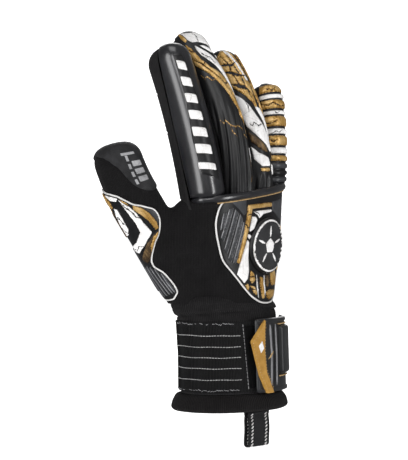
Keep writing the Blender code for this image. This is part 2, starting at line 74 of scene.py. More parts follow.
# Cross-sections of the cuff and hand: height, centre x, centre y, half width, half depth, in mm
CUFF_SECTIONS = [
    (0.0, 0.0, 0.0, 46.4, 35.0),
    (3.0, 0.0, 0.0, 47.3, 35.8),
    (8.0, 0.0, 0.0, 47.0, 35.5),
    (12.4, -0.3, 0.2, 43.8, 33.0),
    (14.6, -0.4, 0.4, 41.4, 31.4),
    (40.0, -0.8, 0.8, 41.0, 31.0),
    (64.4, -1.6, 1.6, 41.4, 31.6),
    (80.0, -2.0, 3.0, 42.4, 31.4),
    (90.0, -1.0, 2.0, 44.5, 28.4),
    (110.0, 0.0, 0.0, 47.2, 26.0),
    (130.0, -1.0, -4.0, 47.2, 23.4),
    (151.0, -2.0, -8.0, 46.4, 21.0),
]
HAND_BOTTOM = 81.0
HAND_TOP = 151.0
HAND_TOP_SLOPE = 0.11
HAND_POWER = 2.2
BODY_INSET = 2.9
FINGER_POWER = 2.6
FINGER_ROOT_GAP = 3.0
ROOT_ZONE = 20.0
TIP_DOME = 13.0
DOME_POWER = 2.4

# Root x and y, splay, lean at root and tip in degrees, length, half width and depth at root and tip
FINGERS = {
    "index": (-37.0, -6.6, -2.0, 10.0, 23.5, 114.0, 13.4, 16.6, 13.4, 15.6),
    "middle": (-11.0, -12.0, -1.5, 2.0, 44.0, 125.0, 11.1, 16.0, 11.5, 15.6),
    "ring": (12.6, -10.5, 1.0, 0.0, 42.0, 107.0, 10.7, 15.4, 11.1, 14.6),
    "little": (35.2, -5.5, 4.0, -3.0, 14.0, 75.5, 10.2, 13.4, 10.6, 12.4),
}
# How far each digit's middle joint is from its root
MIDDLE_AT = {"index": 53.8, "middle": 58.2, "ring": 50.4, "little": 36.5}

THUMB_ROOT = np.array([-35.0, 11.2, 89.0])
THUMB_KNUCKLE = np.array([-69.0, 27.6, 149.0])
THUMB_TIP_DIRECTION = np.array([-0.215, 0.14, 0.965])
THUMB_BACK = np.array([-0.766, -0.643, 0.0])
THUMB_LENGTH = 41.5
THUMB_JOINT_GAP = 3.0


# ---------------------------------------------------------------- surfaces


def unit(vectors):
    """Vectors scaled to length one, along the last axis."""
    length = np.linalg.norm(vectors, axis=-1, keepdims=True)
    return vectors / np.maximum(length, 1e-12)


def smooth_step(low, high, value):
    """0 below low, 1 above high, and a smooth rise between them."""
    share = np.clip((value - low) / (high - low), 0.0, 1.0)
    return share * share * (3.0 - 2.0 * share)


class Tube:
    """A surface of superellipse sections along a line, in mm. Angle 0 is its side, 90 its back."""

    def __init__(self, along, centres, sides, backs, widths, depths, power, dome=0.0):
        self.along = np.asarray(along, float)
        self.centres = np.asarray(centres, float)
        self.sides = np.asarray(sides, float)
        self.backs = np.asarray(backs, float)
        self.widths = np.asarray(widths, float)
        self.depths = np.asarray(depths, float)
        self.power = power
        self.dome = dome
        self.length = self.along[-1]

    def column(self, table, along):
        """Each column of a table of stations, read at the given distances."""
        if table.ndim == 1:
            return np.interp(along, self.along, table)
        return np.stack([np.interp(along, self.along, table[:, k]) for k in range(3)], axis=-1)

    def at(self, degrees, along, lift=0.0):
        """Points at angles and distances along, moved out by a lift in the section's plane."""
        degrees, along = np.broadcast_arrays(np.asarray(degrees, float), np.asarray(along, float))
        angle = np.radians(degrees)
        width = self.column(self.widths, along) + lift
        depth = self.column(self.depths, along) + lift
        squeeze = 1.0
        if self.dome:
            into = np.clip((along - (self.length - self.dome)) / self.dome, 0.0, 1.0)
            squeeze = np.maximum(0.0, 1.0 - into**DOME_POWER) ** (1.0 / DOME_POWER)
        cosine, sine = np.cos(angle), np.sin(angle)
        side_by = np.sign(cosine) * np.abs(cosine) ** (2.0 / self.power) * width * squeeze
        back_by = np.sign(sine) * np.abs(sine) ** (2.0 / self.power) * depth * squeeze
        centre = self.column(self.centres, along)
        side = self.column(self.sides, along)
        back = self.column(self.backs, along)
        return centre + side * side_by[..., None] + back * back_by[..., None]

    def arc_table(self, along):
        """Angles from -90 to 450, and the arc length at each, measured from angle 90."""
        angles = np.linspace(-90.0, 450.0, 1081)
        points = self.at(angles, along)
        steps = np.linalg.norm(np.diff(points, axis=0), axis=1)
        arc = np.concatenate([[0.0], np.cumsum(steps)])
        return angles, arc - np.interp(90.0, angles, arc)

    def normals(self, degrees, along):
        """Outward directions, from neighbouring points."""
        step = 0.4
        near_tip = np.minimum(along, self.length - 0.35)
        across = self.at(degrees + step, near_tip) - self.at(degrees - step, near_tip)
        onward = self.at(degrees, near_tip + 0.3) - self.at(degrees, near_tip - 0.3)
        return unit(np.cross(onward, across))


def finger_tube(name):
    """A finger's outer surface."""
    x, y, splay, lean_root, lean_tip, length, width, depth, tip_width, tip_depth = FINGERS[name]
    headings = []
    for lean in (lean_root, lean_tip):
        tilt, aside = math.radians(lean), math.radians(splay)
        headings.append(unit(np.array([math.sin(aside), math.sin(tilt), math.cos(tilt)])))
    root = np.array([x, y, HAND_TOP + HAND_TOP_SLOPE * x + FINGER_ROOT_GAP])
    tube = swept_tube(root, headings, np.array([0.0, -1.0, 0.0]), length, 60)
    along, centres, sides, backs = tube
    ease = np.clip(along / ROOT_ZONE, 0.0, 1.0)[:, None]
    sides = np.array([1.0, 0.0, HAND_TOP_SLOPE]) * (1.0 - ease) + sides * ease
    backs = np.array([0.0, -1.0, 0.0]) * (1.0 - ease) + backs * ease
    share = along / length
    widths = width + (tip_width - width) * share
    depths = depth + (tip_depth - depth) * share
    return Tube(along, centres, sides, backs, widths, depths, FINGER_POWER, TIP_DOME)


def swept_tube(root, headings, back_hint, length, steps):
    """Stations of a line that turns steadily from its first heading to its last."""
    along = np.linspace(0.0, length, steps + 1)
    centres, forwards = [root], [headings[0]]
    for step in range(steps):
        share = (step + 0.5) / steps
        heading = unit(headings[0] * (1.0 - share) + headings[1] * share)
        centres.append(centres[-1] + heading * (length / steps))
        forwards.append(heading)
    forwards = np.array(forwards)
    sides = unit(np.cross(forwards, back_hint))
    backs = unit(np.cross(sides, forwards))
    return along, np.array(centres), sides, backs


def thumb_tube():
    """The whole thumb: its root tube from inside the hand, then its free part to the tip."""
    first = unit(THUMB_KNUCKLE - THUMB_ROOT)
    reach = float(np.linalg.norm(THUMB_KNUCKLE - THUMB_ROOT)) + THUMB_JOINT_GAP
    below = 14.0
    start = THUMB_ROOT - first * below
    free = swept_tube(
        THUMB_KNUCKLE + first * THUMB_JOINT_GAP,
        [first, unit(THUMB_TIP_DIRECTION)],
        THUMB_BACK,
        THUMB_LENGTH,
        60,
    )
    along = np.concatenate([[-reach - below, -reach, -THUMB_JOINT_GAP], free[0]])
    centres = np.vstack([[start, THUMB_ROOT, THUMB_KNUCKLE], free[1]])
    sides = np.vstack([[free[2][0]] * 3, free[2]])
    backs = np.vstack([[free[3][0]] * 3, free[3]])
    share = free[0] / THUMB_LENGTH
    widths = np.concatenate([[17.6, 17.6, 17.4], 17.4 - 0.8 * share])
    depths = np.concatenate([[17.0, 17.0, 16.4], 16.4 - 2.2 * share])
    return Tube(along, centres, sides, backs, widths, depths, FINGER_POWER, TIP_DOME)


def hand_tube():
    """The cuff and hand as one stack of sections. Its upper edge rises to the little finger."""
    rows = np.array(CUFF_SECTIONS)
    heights = np.unique(np.concatenate([rows[:, 0], np.arange(0.0, HAND_TOP + 8.0, 1.0)]))
    columns = [np.interp(heights, rows[:, 0], rows[:, k]) for k in range(1, 5)]
    centres = np.stack([columns[0], columns[1], heights], axis=1)
    sides = np.tile([1.0, 0.0, 0.0], (len(heights), 1))
    backs = np.tile([0.0, -1.0, 0.0], (len(heights), 1))
    rise = np.maximum(0.0, (heights - HAND_BOTTOM) / (HAND_TOP - HAND_BOTTOM)) * HAND_TOP_SLOPE
    sides[:, 2] = rise
    centres[:, 2] += rise * columns[0]
    return Tube(heights, centres, sides, backs, columns[2], columns[3], HAND_POWER)


# ---------------------------------------------------------------- meshes


def add_mesh(name, points, faces, smooth_angle=40.0):
    """An object from points in mm and faces, shaded smooth up to an angle."""
    data = bpy.data.meshes.new(name)
    data.from_pydata((np.asarray(points) * MM).tolist(), [], faces)
    data.shade_smooth()
    data.set_sharp_from_angle(angle=math.radians(smooth_angle))
    made = bpy.data.objects.new(name, data)
    bpy.context.scene.collection.objects.link(made)
    return made


def set_cloth(made, coordinates):
    """Stores each vertex's place on its fabric, in mm, for weaves that follow the surface."""
    layer = made.data.attributes.new("cloth", "FLOAT_VECTOR", "POINT")
    flat = np.zeros((len(made.data.vertices), 3), np.float32)
    flat[:, : np.shape(coordinates)[1]] = coordinates
    layer.data.foreach_set("vector", flat.ravel())


def grid_faces(rows, columns, closed):
    """Quads of a grid of points, row by row, joined round if it is closed."""
    faces = []
    wide = columns if closed else columns - 1
    for r in range(rows - 1):
        for c in range(wide):
            d = (c + 1) % columns
            faces.append((r * columns + c, r * columns + d, (r + 1) * columns + d, (r + 1) * columns + c))
    return faces


def closed_profile_mesh(name, rings, closed_round=True):
    """A solid from rings side by side, where the last ring joins the first. Open rings get two end caps."""
    rings = np.asarray(rings)
    count, around = rings.shape[:2]
    points = rings.reshape(-1, 3)
    faces = []
    wide = around if closed_round else around - 1
    for r in range(count):
        s = (r + 1) % count
        for c in range(wide):
            d = (c + 1) % around
            faces.append((r * around + c, s * around + c, s * around + d, r * around + d))
    if not closed_round:
        faces.append([r * around for r in range(count)])
        faces.append([r * around + around - 1 for r in reversed(range(count))])
    made = add_mesh(name, points, faces, 60.0)
    fix_normals(made)
    return made


def fix_normals(made):
    """Turns every face outwards."""
    mesh = bmesh.new()
    mesh.from_mesh(made.data)
    bmesh.ops.recalc_face_normals(mesh, faces=mesh.faces)
    mesh.to_mesh(made.data)
    mesh.free()


def tube_along(points, radius, sides, closed=False):
    """Points and faces of a round cord along a line in mm, of one radius or one at each point."""
    points = np.asarray(points, float)
    radius = np.broadcast_to(radius, len(points))
    ahead = np.roll(points, -1, axis=0) - np.roll(points, 1, axis=0)
    if not closed:
        ahead[0] = points[1] - points[0]
        ahead[-1] = points[-1] - points[-2]
    ahead = unit(ahead)
    normal = unit(np.cross(ahead[0], [0.3, 0.5, 0.8]))
    rings = []
    angles = np.linspace(0.0, 2.0 * math.pi, sides, endpoint=False)
    for place, heading, reach in zip(points, ahead, radius):
        normal = unit(normal - heading * np.dot(normal, heading))
        other = np.cross(heading, normal)
        ring = place + reach * (np.outer(np.cos(angles), normal) + np.outer(np.sin(angles), other))
        rings.append(ring)
    count = len(rings)
    faces = grid_faces(count, sides, True)
    if closed:
        for c in range(sides):
            d = (c + 1) % sides
            faces.append(((count - 1) * sides + c, (count - 1) * sides + d, d, c))
    else:
        faces.append(tuple(reversed(range(sides))))
        faces.append(tuple((count - 1) * sides + c for c in range(sides)))
    return np.vstack(rings), faces


def joined(name, parts):
    """One object from several sets of points and faces."""
    points, faces, start = [], [], 0
    for part_points, part_faces in parts:
        points.append(part_points)
        faces += [tuple(i + start for i in face) for face in part_faces]
        start += len(part_points)
    made = add_mesh(name, np.vstack(points), faces, 50.0)
    fix_normals(made)
    return made


def stitches(path, length, gap, radius):
    """Short thread stitches laid along a path, each a small round-ended bar."""
    path = np.asarray(path, float)
    steps = np.linalg.norm(np.diff(path, axis=0), axis=1)
    arc = np.concatenate([[0.0], np.cumsum(steps)])
    parts = []
    start = 0.0
    while start + length < arc[-1]:
        marks = np.linspace(start, start + length, 5)
        line = np.stack([np.interp(marks, arc, path[:, k]) for k in range(3)], axis=1)
        parts.append(tube_along(line, radius, 6))
        start += length + gap
    return parts


# ---------------------------------------------------------------- moulded and printed panels


def inside(outline, points):
    """Which points lie in an outline, both in two dimensions."""
    outline = np.asarray(outline, float)
    x, y = points[:, 0], points[:, 1]
    found = np.zeros(len(points), bool)
    ax, ay = outline[-1]
    for bx, by in outline:
        crosses = (ay > y) != (by > y)
        if by != ay:
            found ^= crosses & (x < (bx - ax) * (y - ay) / (by - ay) + ax)
        ax, ay = bx, by
    return found


def edge_distance(loops, points):
    """Each point's distance to the nearest edge of closed loops."""
    best = np.full(len(points), 1e9)
    for loop in loops:
        loop = np.asarray(loop, float)
        for a, b in zip(loop, np.roll(loop, -1, axis=0)):
            ab = b - a
            share = np.clip(((points - a) @ ab) / max(1e-9, ab @ ab), 0.0, 1.0)
            gap = points - (a + share[:, None] * ab)
            best = np.minimum(best, np.hypot(gap[:, 0], gap[:, 1]))
    return best


def resampled(loop, step, closed=True):
    """A loop with a point at least every step along it, keeping its corners."""
    loop = np.asarray(loop, float)
    out = []
    ends = np.roll(loop, -1, axis=0) if closed else loop[1:]
    for a, b in zip(loop, ends):
        count = max(1, int(np.ceil(np.linalg.norm(b - a) / step)))
        for k in range(count):
            out.append(a + (b - a) * k / count)
    if not closed:
        out.append(loop[-1])
    return np.array(out)


def rounded(loop, radius, steps):
    """A closed loop with its corners rounded off."""
    loop = np.asarray(loop, float)
    out = []
    count = len(loop)
    for i in range(count):
        before, here, after = loop[i - 1], loop[i], loop[(i + 1) % count]
        back, onward = before - here, after - here
        cut = min(radius, 0.45 * np.linalg.norm(back), 0.45 * np.linalg.norm(onward))
        start, end = here + unit(back) * cut, here + unit(onward) * cut
        for k in range(steps + 1):
            t = k / steps
            out.append(start * (1 - t) ** 2 + here * 2 * t * (1 - t) + end * t * t)
    return np.array(out)


def ribbon(line, width):
    """The outline of a line of some width, tapered at both ends."""
    line = np.asarray(line, float)
    heading = unit(np.gradient(line, axis=0))
    aside = np.stack([-heading[:, 1], heading[:, 0]], axis=1)
    half = np.full(len(line), width / 2.0)
    half[0] = half[-1] = width * 0.2
    return np.vstack([line + aside * half[:, None], (line - aside * half[:, None])[::-1]])


class Region:
    """A shape printed or moulded on a panel: its outline, ink, height and edge rounding, in mm."""

    def __init__(self, outline, ink, height, edge, corner=0.6, over=False):
        self.outline = rounded(outline, corner, 2) if corner else np.asarray(outline, float)
        self.ink = ink
        self.height = height
        self.edge = edge
        # Whether the shape lies on top of what is drawn before it, or takes its place
        self.over = over


def panel_plan(outline, regions, spacing):
    """Points and triangles that fill an outline and follow the edges of every region."""
    loops = [resampled(outline, spacing)]
    loops += [resampled(region.outline, spacing) for region in regions]
    points, edges = [], []
    for loop in loops:
        start = len(points)
        points += [tuple(p) for p in loop]
        edges += [(start + i, start + (i + 1) % len(loop)) for i in range(len(loop))]
    low, high = loops[0].min(0), loops[0].max(0)
    row_gap = spacing * 0.87
    rows = np.arange(low[1], high[1], row_gap)
    fill = []
    for k, v in enumerate(rows):
        us = np.arange(low[0] + (k % 2) * spacing / 2, high[0], spacing)
        fill.append(np.stack([us, np.full(len(us), v)], axis=1))
    fill = np.vstack(fill)
    fill = fill[inside(loops[0], fill)]
    fill = fill[edge_distance(loops, fill) > spacing * 0.55]
    bevels = []
    for loop, region in zip(loops, [None, *regions]):
        reach = 0.45 if region is None else min(0.45, region.edge * 0.5)
        heading = unit(np.roll(loop, -1, axis=0) - np.roll(loop, 1, axis=0))
        aside = np.stack([-heading[:, 1], heading[:, 0]], axis=1)
        for way in (reach, -reach):
            bevels.append(loop + aside * way)
    bevels = np.vstack(bevels)
    bevels = bevels[inside(loops[0], bevels)]
    bevels = bevels[edge_distance(loops, bevels) > 0.3]
    points += [tuple(p) for p in np.vstack([fill, bevels])]
    made = delaunay_2d_cdt([Vector(p) for p in points], edges, [], 0, 1e-4)
    plan = np.array([tuple(p) for p in made[0]])
    faces = np.array([tuple(f) for f in made[2]], int)
    middles = plan[faces].mean(1)
    keep = inside(loops[0], middles)
    a, b, c = (plan[faces[:, k]] for k in range(3))
    area = np.abs((b - a)[:, 0] * (c - a)[:, 1] - (b - a)[:, 1] * (c - a)[:, 0])
    return plan, faces[keep & (area > 1e-5)]


def panel_heights(plan, outline, regions, base_edge, base_height):
    """The relief at each point of a plan, and its share of each shape's full height."""
    own = edge_distance([outline], plan)
    rise = np.sqrt(np.clip(1.0 - (1.0 - np.clip(own / base_edge, 0.0, 1.0)) ** 2, 0.0, 1.0))
    height = base_height * rise
    swell = rise.copy()
    for region in regions:
        within = inside(region.outline, plan)
        gap = edge_distance([region.outline], plan[within])
        up = np.clip(gap / region.edge, 0.0, 1.0)
        pillow = np.sqrt(np.clip(1.0 - (1.0 - up) ** 2, 0.0, 1.0))
        under = height[within] if region.over else base_height * rise[within]
        height[within] = under + region.height * pillow
        if not region.over:
            swell[within] = pillow
    return height, swell


def panel_inks(plan, faces, regions):
    """The ink of each face: that of the last region which holds its middle, or 0."""
    middles = plan[faces].mean(1)
    inks = np.zeros(len(faces), int)
    for region in regions:
        inks[inside(region.outline, middles)] = region.ink
    return inks


def vertex_normals(points, faces):
    """Smooth normals of a triangle mesh."""
    a, b, c = (points[faces[:, k]] for k in range(3))
    across = np.cross(b - a, c - a)
    total = np.zeros_like(points)
    for k in range(3):
        np.add.at(total, faces[:, k], across)
    return unit(total)


def shell_objects(names, points, faces, inks, finishes, normals, wall, cloth, lower=None):
    """Closed shells from one outer skin, cut in two where lower says. They share smooth normals."""
    made = []
    masks = [np.ones(len(faces), bool)] if lower is None else [lower, ~lower]
    for name, mask in zip(names, masks):
        own = faces[mask]
        used, flat = np.unique(own, return_inverse=True)
        own = flat.reshape(-1, 3)
        outer, aim = points[used], normals[used]
        inner = outer - aim * wall
        count = len(used)
        pairs = dict.fromkeys((face[k], face[(k + 1) % 3]) for face in own for k in range(3))
        rim = [(a, b) for a, b in pairs if (b, a) not in pairs]
        triangles = [tuple(face) for face in own]
        backs = [(f[2] + count, f[1] + count, f[0] + count) for f in own]
        sides = [(b, a, a + count, b + count) for a, b in rim]
        data = bpy.data.meshes.new(name)
        everything = np.vstack([outer, inner]) * MM
        data.from_pydata(everything.tolist(), [], triangles + backs + sides)
        data.shade_smooth()
        for finish in finishes:
            data.materials.append(finish)
        slots = np.concatenate([inks[mask], inks[mask], np.zeros(len(sides), int)])
        data.polygons.foreach_set("material_index", slots.astype(np.int32))
        loop_normals = []
        for face in triangles:
            loop_normals += [aim[i] for i in face]
        for face in backs:
            loop_normals += [-aim[i - count] for i in face]
        for face in sides:
            a, b, c = (everything[i] for i in face[:3])
            flat_normal = unit(np.cross(b - a, c - a))
            loop_normals += [flat_normal] * 4
        data.normals_split_custom_set([tuple(n) for n in loop_normals])
        piece = bpy.data.objects.new(name, data)
        bpy.context.scene.collection.objects.link(piece)
        set_cloth(piece, np.vstack([cloth[used], cloth[used]]))
        made.append(piece)
    return made


class SurfacePanel:
    """A moulded panel on a tube, laid out in degrees round and mm along.

    It starts at a lift from the tube's surface, rises by a height over a rounded edge, is as thick as
    its wall, and has a point about every spacing, all in mm.
    """

    def __init__(self, tube, outline, regions, lift, height, edge, wall, spacing):
        self.tube = tube
        self.angles, self.arc = tube.arc_table(float(np.mean([p[1] for p in outline])))
        flat = self.flat(outline)
        shapes = [Region(self.flat(shape), *looks) for shape, *looks in regions]
        self.plan, triangles = panel_plan(flat, shapes, spacing)
        self.faces = triangles[:, ::-1]
        self.inks = panel_inks(self.plan, self.faces, shapes)
        self.heights, swell = panel_heights(self.plan, flat, shapes, edge, height)
        # The third cloth coordinate is each shape's share of its full height; the printed inks paint shade
        # from it towards the shape edges
        self.cloth = np.column_stack([self.plan, swell])
        self.wall = wall
        self.lift = lift

    def flat(self, outline):
        """Outline points as arc length and distance along, in mm."""
        outline = np.asarray(outline, float)
        return np.stack([np.interp(outline[:, 0], self.angles, self.arc), outline[:, 1]], axis=1)

    def build(self, names, finishes, split=None, extra=None):
        """The panel's shells. extra is a function of angle and distance that adds to the relief."""
        tube = self.tube
        degrees = np.interp(self.plan[:, 0], self.arc, self.angles)
        along = self.plan[:, 1]
        height = self.heights.copy()
        if extra is not None:
            height += extra(degrees, along)
        aim = tube.normals(degrees, along)
        faces, inks = self.faces, self.inks
        if tube.dome:
            near = smooth_step(tube.length - 2.5, tube.length, along)[:, None]
            tip_way = unit(tube.centres[-1] - tube.centres[-2])
            aim = unit(aim * (1.0 - near) + tip_way * near)
            ease = smooth_step(tube.length - 3.0, tube.length, along)
            height = height * (1.0 - ease) + np.median(height) * ease
            at_tip = np.where(along > tube.length - 1e-3)[0]
            if len(at_tip):
                index = np.arange(len(along))
                index[at_tip] = at_tip[0]
                faces = index[faces]
                good = (faces[:, 0] != faces[:, 1]) & (faces[:, 1] != faces[:, 2])
                good &= faces[:, 0] != faces[:, 2]
                faces, inks = faces[good], inks[good]
        points = tube.at(degrees, along, self.lift) + aim * height[:, None]
        lower = None if split is None else along[faces].mean(1) < split
        normals = vertex_normals(points, faces)
        return shell_objects(names, points, faces, inks, finishes, normals, self.wall, self.cloth, lower)


# ---------------------------------------------------------------- materials


class Finish:
    """Builds one Principled material from small texture steps."""

    def __init__(self, name, roughness, metallic=0.0, sheen=0.0, coat=0.0, specular=0.5):
        self.material = bpy.data.materials.new(name)
        self.material.use_nodes = True
        self.nodes = self.material.node_tree.nodes
        self.links = self.material.node_tree.links
        self.shader = self.nodes["Principled BSDF"]
        self.shader.inputs["Roughness"].default_value = roughness
        self.shader.inputs["Metallic"].default_value = metallic
        self.shader.inputs["Specular IOR Level"].default_value = specular
        if sheen:
            self.shader.inputs["Sheen Weight"].default_value = sheen
            self.shader.inputs["Sheen Roughness"].default_value = 0.6
        if coat:
            self.shader.inputs["Coat Weight"].default_value = coat
            self.shader.inputs["Coat Roughness"].default_value = 0.22
        place = self.nodes.new("ShaderNodeAttribute")
        place.attribute_name = "cloth"
        self.cloth = place.outputs["Vector"]
        parts = self.nodes.new("ShaderNodeSeparateXYZ")
        self.links.new(self.cloth, parts.inputs[0])
        self.across, self.along, self.swell = parts.outputs["X"], parts.outputs["Y"], parts.outputs["Z"]
        self.relief = None

    def math(self, operation, first, second=None, third=None):
        """One arithmetic step; each input is a socket or a number."""
        node = self.nodes.new("ShaderNodeMath")
        node.operation = operation
        for socket, value in zip(node.inputs, (first, second, third)):
            if value is None:
                continue
            if isinstance(value, (int, float)):
                socket.default_value = value
            else:
                self.links.new(value, socket)
        return node.outputs[0]

    def noise(self, scale, detail=3.0, roughness=0.6, vector=None):
        """Noise over the cloth; scale is in features per mm."""
        node = self.nodes.new("ShaderNodeTexNoise")
        node.inputs["Scale"].default_value = scale
        node.inputs["Detail"].default_value = detail
        node.inputs["Roughness"].default_value = roughness
        self.links.new(vector or self.cloth, node.inputs["Vector"])
        return node.outputs["Fac"]

    def stretched(self, across, along):
        """The cloth's coordinates drawn out, for streaks."""
        node = self.nodes.new("ShaderNodeVectorMath")
        node.operation = "MULTIPLY"
        node.inputs[1].default_value = (across, along, 1.0)
        self.links.new(self.cloth, node.inputs[0])
        return node.outputs["Vector"]

    def cells(self, scale, feature="F1"):
        """Distances to scattered points over the cloth."""
        node = self.nodes.new("ShaderNodeTexVoronoi")
        node.feature = feature
        node.inputs["Scale"].default_value = scale
        self.links.new(self.cloth, node.inputs["Vector"])
        return node.outputs["Distance"]

    def waves(self, coordinate, pitch, shift=None):
        """A wave from 0 to 1 with a pitch in mm."""
        turned = self.math("MULTIPLY", coordinate, 2.0 * math.pi / pitch)
        if shift is not None:
            turned = self.math("ADD", turned, shift)
        return self.math("MULTIPLY_ADD", self.math("SINE", turned), 0.5, 0.5)

    def tint(self, value, stops):
        """The base colour, from colours at positions along a value."""
        node = self.nodes.new("ShaderNodeValToRGB")
        bar = node.color_ramp
        while len(bar.elements) < len(stops):
            bar.elements.new(0.5)
        for element, (position, colour) in zip(bar.elements, stops):
            element.position = position
            element.color = (*colour, 1.0)
        self.links.new(value, node.inputs["Fac"])
        self.links.new(node.outputs["Color"], self.shader.inputs["Base Color"])

    def rough(self, value, low, high):
        """Roughness that varies with a value from 0 to 1."""
        self.links.new(self.math("MULTIPLY_ADD", value, high - low, low), self.shader.inputs["Roughness"])

    def bump(self, value, height, strength=1.0):
        """Adds relief of a height in mm."""
        node = self.nodes.new("ShaderNodeBump")
        node.inputs["Strength"].default_value = strength
        node.inputs["Distance"].default_value = height * MM
        self.links.new(value, node.inputs["Height"])
        if self.relief is not None:
            self.links.new(self.relief, node.inputs["Normal"])
        self.relief = node.outputs["Normal"]
        self.links.new(self.relief, self.shader.inputs["Normal"])


def knit_finish(name, dark, light, rib, row, relief, sheen=0.02):
    """Knitted fabric: rows of V stitches in vertical ribs, with a little fuzz."""
    made = Finish(name, 0.9, sheen=sheen, specular=0.08)
    rib_wave = made.waves(made.across, rib)
    lean = made.math("MULTIPLY", made.math("PINGPONG", made.across, rib / 2.0), 2.0 * math.pi / rib)
    row_wave = made.waves(made.along, row, lean)
    stitch = made.math("MULTIPLY", made.math("MULTIPLY_ADD", row_wave, 0.5, 0.5), rib_wave)
    patchy = made.noise(0.08, 4.0)
    fuzz = made.noise(2.6, 2.0)
    tone = made.math("MULTIPLY_ADD", fuzz, 0.35, made.math("MULTIPLY", stitch, 0.35))
    tone = made.math("MULTIPLY_ADD", patchy, 0.45, tone)
    made.tint(tone, [(0.25, dark), (0.9, light)])
    made.rough(patchy, 0.82, 0.98)
    made.bump(stitch, relief)
    made.bump(fuzz, relief * 0.3)
    return made.material


def foam_finish(name, dark, light, roughness, pore=1.1):
    """Latex foam: a soft skin with fine pores and faint scuffs."""
    made = Finish(name, roughness, sheen=0.02, specular=0.16)
    pores = made.cells(pore)
    skin = made.noise(0.25, 5.0)
    scuff = made.noise(0.05, 3.0)
    tone = made.math("MULTIPLY_ADD", scuff, 0.5, made.math("MULTIPLY", skin, 0.5))
    made.tint(tone, [(0.3, dark), (0.75, light)])
    made.rough(skin, roughness - 0.1, roughness + 0.14)
    made.bump(pores, 0.12, 0.8)
    made.bump(skin, 0.35)
    return made.material


def moulded_finish(name, dark, light, roughness, coat=0.3, grain=0.06, polish=0.3):
    """Moulded rubber with a satin skin, a fine grain and rubbed places."""
    made = Finish(name, roughness, coat=coat, specular=0.25)
    made.shader.inputs["Coat Roughness"].default_value = polish
    made.shader.inputs["Coat IOR"].default_value = 1.8 if coat > 0.8 else 1.5
    wear = made.noise(0.06, 5.0, 0.65)
    fine = made.noise(1.8, 3.0)
    tone = made.math("MULTIPLY_ADD", fine, 0.3, made.math("MULTIPLY", wear, 0.7))
    made.tint(tone, [(0.3, dark), (0.8, light)])
    made.rough(wear, roughness - 0.08, roughness + 0.14)
    made.bump(fine, grain)
    return made.material


def printed_finish(name, shades, roughness, metallic=0.0, coat=0.15, edge=0.3):
    """Ink on moulded rubber: uneven tone with streaks and creases, and painted shade that darkens it
    towards each shape's rounded edge.
    """
    made = Finish(name, roughness, metallic=metallic, coat=coat, specular=0.2)
    broad = made.noise(0.09, 4.0, 0.6)
    fine = made.noise(0.9, 4.0, 0.7)
    streak = made.noise(0.5, 2.0, 0.5, made.stretched(3.0, 0.35))
    crease = made.cells(0.07, "DISTANCE_TO_EDGE")
    thin = made.math("LESS_THAN", crease, 0.006)
    tone = made.math("MULTIPLY_ADD", fine, 0.26, made.math("MULTIPLY_ADD", broad, 0.8, -0.17))
    tone = made.math("MULTIPLY_ADD", streak, 0.34, tone)
    tone = made.math("SUBTRACT", tone, made.math("MULTIPLY", thin, 0.2))
    # Painted shade: the ink darkens where its raised shape rounds down at the edge, by the amount edge
    low = made.math("SUBTRACT", 1.0, made.swell)
    tone = made.math("SUBTRACT", tone, made.math("MULTIPLY", made.math("POWER", low, 1.6), edge))
    made.tint(tone, shades)
    made.rough(fine, roughness - 0.08, roughness + 0.12)
    made.bump(fine, 0.05)
    made.bump(made.math("MINIMUM", crease, 0.05), 1.2, 0.4)
    return made.material


def woven_finish(name, dark, light, warp, weft, relief):
    """Woven webbing: threads over and under each other."""
    made = Finish(name, 0.86, sheen=0.02, specular=0.1)
    over = made.waves(made.across, warp)
    lean = made.math("MULTIPLY", made.across, 2.0 * math.pi / (warp * 2.0))
    under = made.waves(made.along, weft, lean)
    weave = made.math("MULTIPLY", over, under)
    fuzz = made.noise(2.0, 3.0)
    tone = made.math("MULTIPLY_ADD", weave, 0.6, made.math("MULTIPLY", fuzz, 0.4))
    made.tint(tone, [(0.15, dark), (0.85, light)])
    made.rough(fuzz, 0.76, 0.95)
    made.bump(weave, relief)
    return made.material


def thread_finish(name, dark, light):
    """Twisted sewing thread."""
    made = Finish(name, 0.7, specular=0.2)
    ply = made.noise(0.7, 4.0)
    made.tint(ply, [(0.3, dark), (0.65, light)])
    made.bump(ply, 0.1)
    return made.material


# The inks' colours, at positions along their uneven tone
GOLD_SHADES = [(0.1, (0.05, 0.022, 0.006)), (0.3, (0.24, 0.115, 0.022)), (0.46, (0.5, 0.29, 0.075))]
GOLD_SHADES += [(0.68, (0.78, 0.54, 0.24))]
DARK_GOLD_SHADES = [(0.3, (0.012, 0.008, 0.006)), (0.5, (0.075, 0.045, 0.02)), (0.72, (0.26, 0.165, 0.07))]
WHITE_SHADES = [(0.12, (0.16, 0.14, 0.12)), (0.3, (0.5, 0.485, 0.47)), (0.55, (0.78, 0.77, 0.765))]
GREY_SHADES = [(0.25, (0.12, 0.12, 0.125)), (0.5, (0.26, 0.26, 0.27)), (0.75, (0.38, 0.38, 0.39))]
